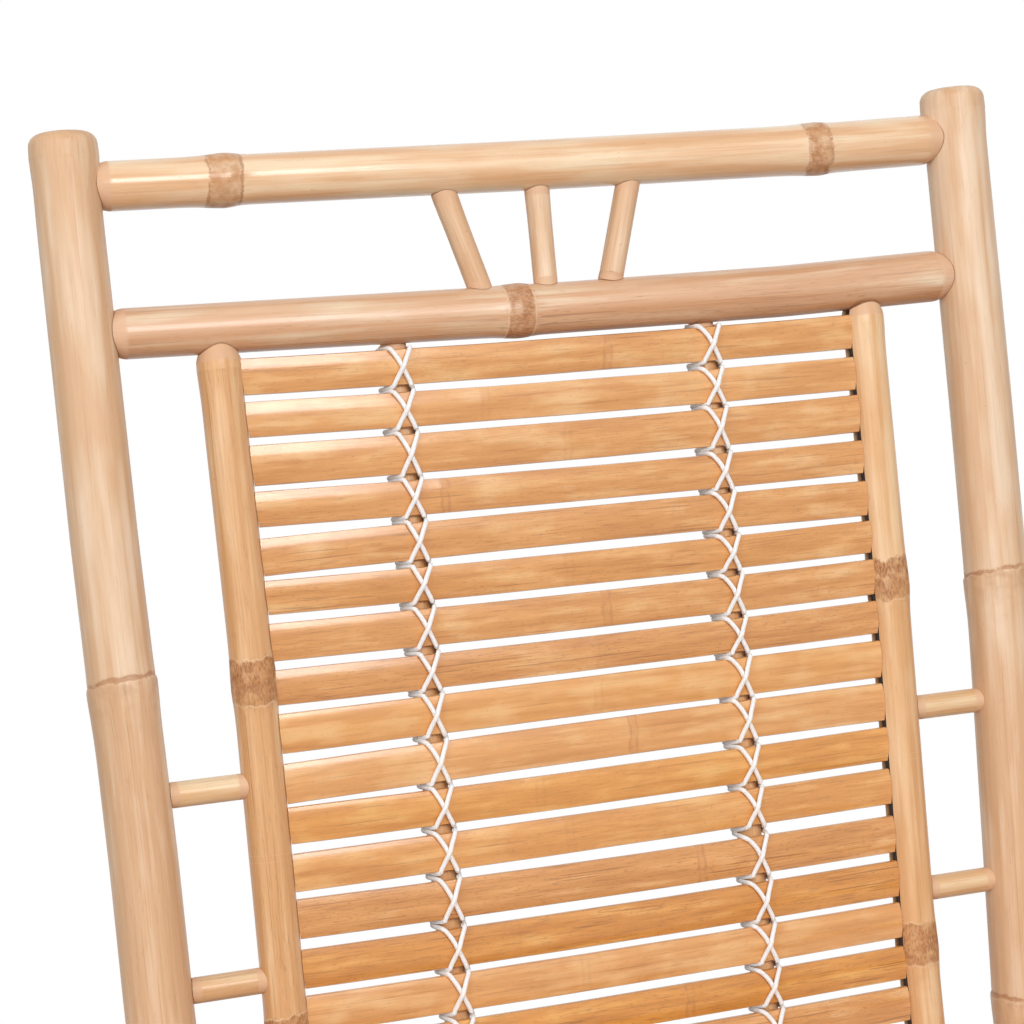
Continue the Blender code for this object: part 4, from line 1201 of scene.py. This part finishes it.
legs = {}
for side, word in SIDES.items():
    beside = post_line(side, -ARM_DROP)
    post_radius = float(posts[side].radius(posts[side].nearest(beside)))
    arm_across = side * (abs(beside.x) + post_radius + ARM_RADIUS - ARM_HOUSING)
    rear_joint = Vector((arm_across, beside.y, beside.z))
    front_joint = Vector((arm_across, -LEG_TOP_FORWARD, ARM_FRONT_HEIGHT))
    forward = (front_joint - rear_joint).normalized()
    arm = Culm([rear_joint - forward * ARM_REAR_OVERHANG, front_joint + forward * ARM_FRONT_OVERHANG],
               (ARM_RADIUS, ARM_RADIUS))
    post_centre, post_way, post_skin = posts[side].skin(beside)

    def house(points, centre=post_centre, way=post_way, radius=post_skin):
        """Hollow the arm where the post would run into it."""
        offset = points - centre
        offset = offset - (offset @ way)[..., None] * way
        away = np.linalg.norm(offset, axis=-1, keepdims=True)
        return points + np.where(away < radius, offset / away * (radius - away), 0.0)

    rings = [(arm.length * share, "ring") for share in ARM_NODE_SHARES]
    loft_culm(f"arm_{word}", arm, "PALE", rings, sides=36, seed=110 + side, tone=0.04, push=house)
    leg_foot = Vector((side * rocker_across, -LEG_FOOT_FORWARD, rocker_height(-LEG_FOOT_FORWARD)))
    legs[side] = Culm([leg_foot, front_joint], LEG_RADII)
    loft_culm(f"front_leg_{word}", legs[side], "PALE", [(legs[side].length * LEG_NODE_SHARE, "ring")],
              start=rockers[side].skin(leg_foot), end=arm.skin(front_joint), sides=36, seed=120 + side)
    rear_foot = Vector((side * rocker_across, REAR_LEG_FOOT_BEHIND, rocker_height(REAR_LEG_FOOT_BEHIND)))
    rod(f"rear_leg_{word}", rear_foot, post_line(side, -REAR_LEG_DROP), rockers[side], posts[side],
        REAR_LEG_RADIUS, "PALE", [(REAR_LEG_NODE, "ring")], sides=32, seed=130 + side)
print("arms at", round(arm_across, 3), "m from the middle")

# %% [markdown]
# ## Seat
#
# The seat is built as the back is: rails in a frame, split slats across it and two thin poles under them,
# laced with the same cord.

# %% Seat frame and stretchers
SEAT_FRONT_HEIGHT = 0.376
SEAT_REAR_DROP = 0.690
SEAT_RAIL_RADIUS = 0.0145
SEAT_REAR_NODE = -0.033
SEAT_SLATS = 13
SEAT_SLAT_GAP = 0.0042
SEAT_SLAT_CROWN = 0.0056
SEAT_TONES = 0.08
SIDE_RAIL_DROP = 0.060
STRETCHER_RADIUS = 0.0125
FRONT_STRETCHER_HEIGHT = 0.195
REAR_STRETCHER_HEIGHT = 0.170
# Where the node of each rail is, as a share of its length
FRONT_RAIL_NODE, PANEL_RAIL_NODE, SIDE_RAIL_NODE = 0.60, 0.48, 0.55
FRONT_STRETCHER_NODE, REAR_STRETCHER_NODE = 0.42, 0.55


def at_height(culm, height):
    """The place on a straight culm's axis at a height."""
    low, high = culm.points[0], culm.points[-1]
    return Vector(low + (high - low) * (height - low[2]) / (high[2] - low[2]))


def back_height(side, height):
    """The place on a post's axis at a height."""
    return post_axis(side, (height - CREST.z) / BACK_UP.z)


seat_rear = on_back(0.0, -SEAT_REAR_DROP)
seat_front = Vector((0.0, at_height(legs[1], SEAT_FRONT_HEIGHT).y, SEAT_FRONT_HEIGHT))
seat_length = (seat_front - seat_rear).length
seat_run = (seat_front - seat_rear) / seat_length
seat_up = Vector((0.0, seat_run.z, -seat_run.y))


def on_seat(across, along, up=0.0):
    """A place on the plane of the seat, in world coordinates."""
    return seat_rear + Vector((across, 0.0, 0.0)) + seat_run * along + seat_up * up


rear_rail = rail_between_posts("seat_rear_rail", -SEAT_REAR_DROP, (SEAT_RAIL_RADIUS, SEAT_RAIL_RADIUS),
                               (SEAT_REAR_NODE,), (0, 0, 0), (0, 0, 0), seed=140)


def between_legs(name, height, radius, share, seed):
    """A pole across the chair, coped to both front legs."""
    ends = [at_height(legs[side], height) for side in SIDES]
    bands = [((ends[1] - ends[0]).length * share, "band")]
    return rod(name, *ends, legs[-1], legs[1], radius, "GOLDEN", bands, seed=seed)


front_rail = between_legs("seat_front_rail", SEAT_FRONT_HEIGHT, SEAT_RAIL_RADIUS, FRONT_RAIL_NODE, 141)
between_legs("front_stretcher", FRONT_STRETCHER_HEIGHT, STRETCHER_RADIUS, FRONT_STRETCHER_NODE, 142)
low_ends = [back_height(side, REAR_STRETCHER_HEIGHT) for side in SIDES]
rod("rear_stretcher", *low_ends, posts[-1], posts[1], STRETCHER_RADIUS, "GOLDEN",
    [((low_ends[1] - low_ends[0]).length * REAR_STRETCHER_NODE, "band")], seed=143)
for side, word in SIDES.items():
    behind = post_axis(side, -SEAT_REAR_DROP - SIDE_RAIL_DROP)
    before = at_height(legs[side], SEAT_FRONT_HEIGHT - SIDE_RAIL_DROP)
    rod(f"seat_side_rail_{word}", behind, before, posts[side], legs[side], STRETCHER_RADIUS, "GOLDEN",
        [((before - behind).length * SIDE_RAIL_NODE, "band")], seed=150 + side)
    panel_ends = [on_seat(side * PANEL_HALF_WIDTH, along) for along in (0.0, seat_length)]
    rod(f"seat_panel_rail_{word}", *panel_ends, rear_rail, front_rail, PANEL_RAIL_RADIUS, "HONEY",
        [(seat_length * PANEL_RAIL_NODE, "knuckle")], seed=155 + side, sides=72,
        slot=sawn_slot(side, seat_up))
print("seat is", round(seat_length, 3), "m deep between rail axes")

# %% Seat slats, their poles and the lacing
seat_faces = (SEAT_RAIL_RADIUS, seat_length - SEAT_RAIL_RADIUS)
seat_pitch = (seat_faces[1] - seat_faces[0] - SEAT_SLAT_GAP) / SEAT_SLATS
seat_edges = slat_edges(seat_faces[0] + SEAT_SLAT_GAP, [seat_pitch - SEAT_SLAT_GAP] * SEAT_SLATS,
                        SEAT_SLAT_GAP, 1)


def seat_ends(_along, out):
    """Where a slat of the seat ends, left and right."""
    inset = end_inset(out)
    return -PANEL_HALF_WIDTH + inset, PANEL_HALF_WIDTH - inset


for number, (near, far) in enumerate(seat_edges, start=1):
    points, faces, marks = loft_slat(on_seat, near, far, SEAT_SLAT_CROWN, seat_ends, lambda _across: 0.0, 0.0,
                                     seed=160 + number)
    marks["tone"] = np.full(len(points), SEAT_TONES * wander(number, 4.0, 0.5))
    put_piece(f"split_seat_slat_{number:02d}", points, faces, marks, "SPLIT", "seat_slat_mat")
for side, word in SIDES.items():
    across = side * LACING_POLE_SPREAD
    pole_ends = [on_seat(across, along, POLE_AXIS) for along in (0.0, seat_length)]
    rod("seat_slat_mat", *pole_ends, rear_rail, front_rail, LACING_POLE_RADIUS, "HONEY", sides=28,
        seed=180 + side)
    flat = [0.0] * SEAT_SLATS
    route = lacing_route(on_seat, across, seat_edges, seat_faces, SEAT_SLAT_CROWN, POLE_AXIS, flat, flat)
    lay_cord(f"seat_lacing_{word}", route)
print(SEAT_SLATS, "seat slats of", round((seat_pitch - SEAT_SLAT_GAP) * 1000, 1), "mm")

# %% [markdown]
# ## Floor, world and light
#
# The chair stands on a plain white floor in soft studio light: one broad lamp high in front, that draws the
# streak along the rails, a weak one on the left, and an even white surround. Near the chair the floor shows
# its shadow. Further off it is plain white to the camera, so that the picture's ground is white without
# more light on the chair.

# %% Floor
FLOOR_HALF, FLOOR_DROP = 14.0, 0.0004
SHADOW_CENTRE = (0.0, -0.25, 0.0)
SHADOW_FROM, SHADOW_TO = 0.60, 1.25
WASH = 0.35


def seen_directly(tree):
    """One for what the camera sees, straight, in a mirror or through glass, and zero for stray light."""
    ray = add(tree, "LightPath")
    seen = ray.outputs["Is Camera Ray"]
    for kind in ("Is Glossy Ray", "Is Transmission Ray"):
        seen = add(tree, "Math", {0: seen, 1: ray.outputs[kind]}, operation="ADD", use_clamp=True)
    return seen


floor_mesh = bpy.data.meshes.new("floor")
corners = [(x * FLOOR_HALF, y * FLOOR_HALF, 0) for x, y in ((-1, -1), (1, -1), (1, 1), (-1, 1))]
floor_mesh.from_pydata(corners, [], [(0, 1, 2, 3)])
floor = bpy.data.objects.new("floor", floor_mesh)
floor.location.z = -FLOOR_DROP
bpy.context.scene.collection.objects.link(floor)
floor_finish = bpy.data.materials.new("white_studio_floor")
floor_finish.use_nodes = True
tree = floor_finish.node_tree
paint = tree.nodes["Principled BSDF"]
fill(paint, {"Base Color": linear("#8C8B89"), "Roughness": 0.9})
spot = add(tree, "NewGeometry").outputs["Position"]
spread = add(tree, "VectorMath", {0: spot, 1: SHADOW_CENTRE}, operation="DISTANCE")
beyond = add(tree, "MapRange", {"Value": spread, "From Min": SHADOW_FROM, "From Max": SHADOW_TO,
                                "To Min": WASH}, interpolation_type="SMOOTHSTEP")
share = add(tree, "Math", {0: seen_directly(tree), 1: beyond}, operation="MULTIPLY", use_clamp=True)
white = add(tree, "Emission", {"Color": (1, 1, 1, 1), "Strength": 1.0})
blend = add(tree, "MixShader", {0: share, 1: paint, 2: white})
fill(tree.nodes["Material Output"], {"Surface": blend})
floor_mesh.materials.append(floor_finish)
print("floor is white from", SHADOW_TO, "m off")

# %% World
SURROUND = 0.45

world = bpy.data.worlds.new("studio")
bpy.context.scene.world = world
world.use_nodes = True
tree = world.node_tree
level = add(tree, "MapRange", {"Value": seen_directly(tree), "To Min": SURROUND, "To Max": 1.0})
fill(tree.nodes["Background"], {"Color": (1, 1, 1, 1), "Strength": level})
print("surround at", SURROUND)

# %% Lamps
LAMPS = (("key_lamp", (0.0, -2.30, 2.40), (0.0, 0.20, 0.85), (1.4, 1.0), 48.0),
         ("left_lamp", (-2.4, -1.6, 1.8), (0.0, 0.2, 0.90), (1.8, 1.8), 25.0))
for name, position, target, size, power in LAMPS:
    lamp = bpy.data.objects.new(name, bpy.data.lights.new(name, "AREA"))
    lamp.data.shape = "RECTANGLE"
    lamp.data.size, lamp.data.size_y = size
    lamp.data.energy = power
    lamp.location = position
    lamp.rotation_euler = (Vector(target) - Vector(position)).to_track_quat("-Z", "Y").to_euler()
    bpy.context.scene.collection.objects.link(lamp)
bpy.context.scene.view_settings.view_transform = "Standard"
print("lamps:", ", ".join(lamp[0] for lamp in LAMPS))
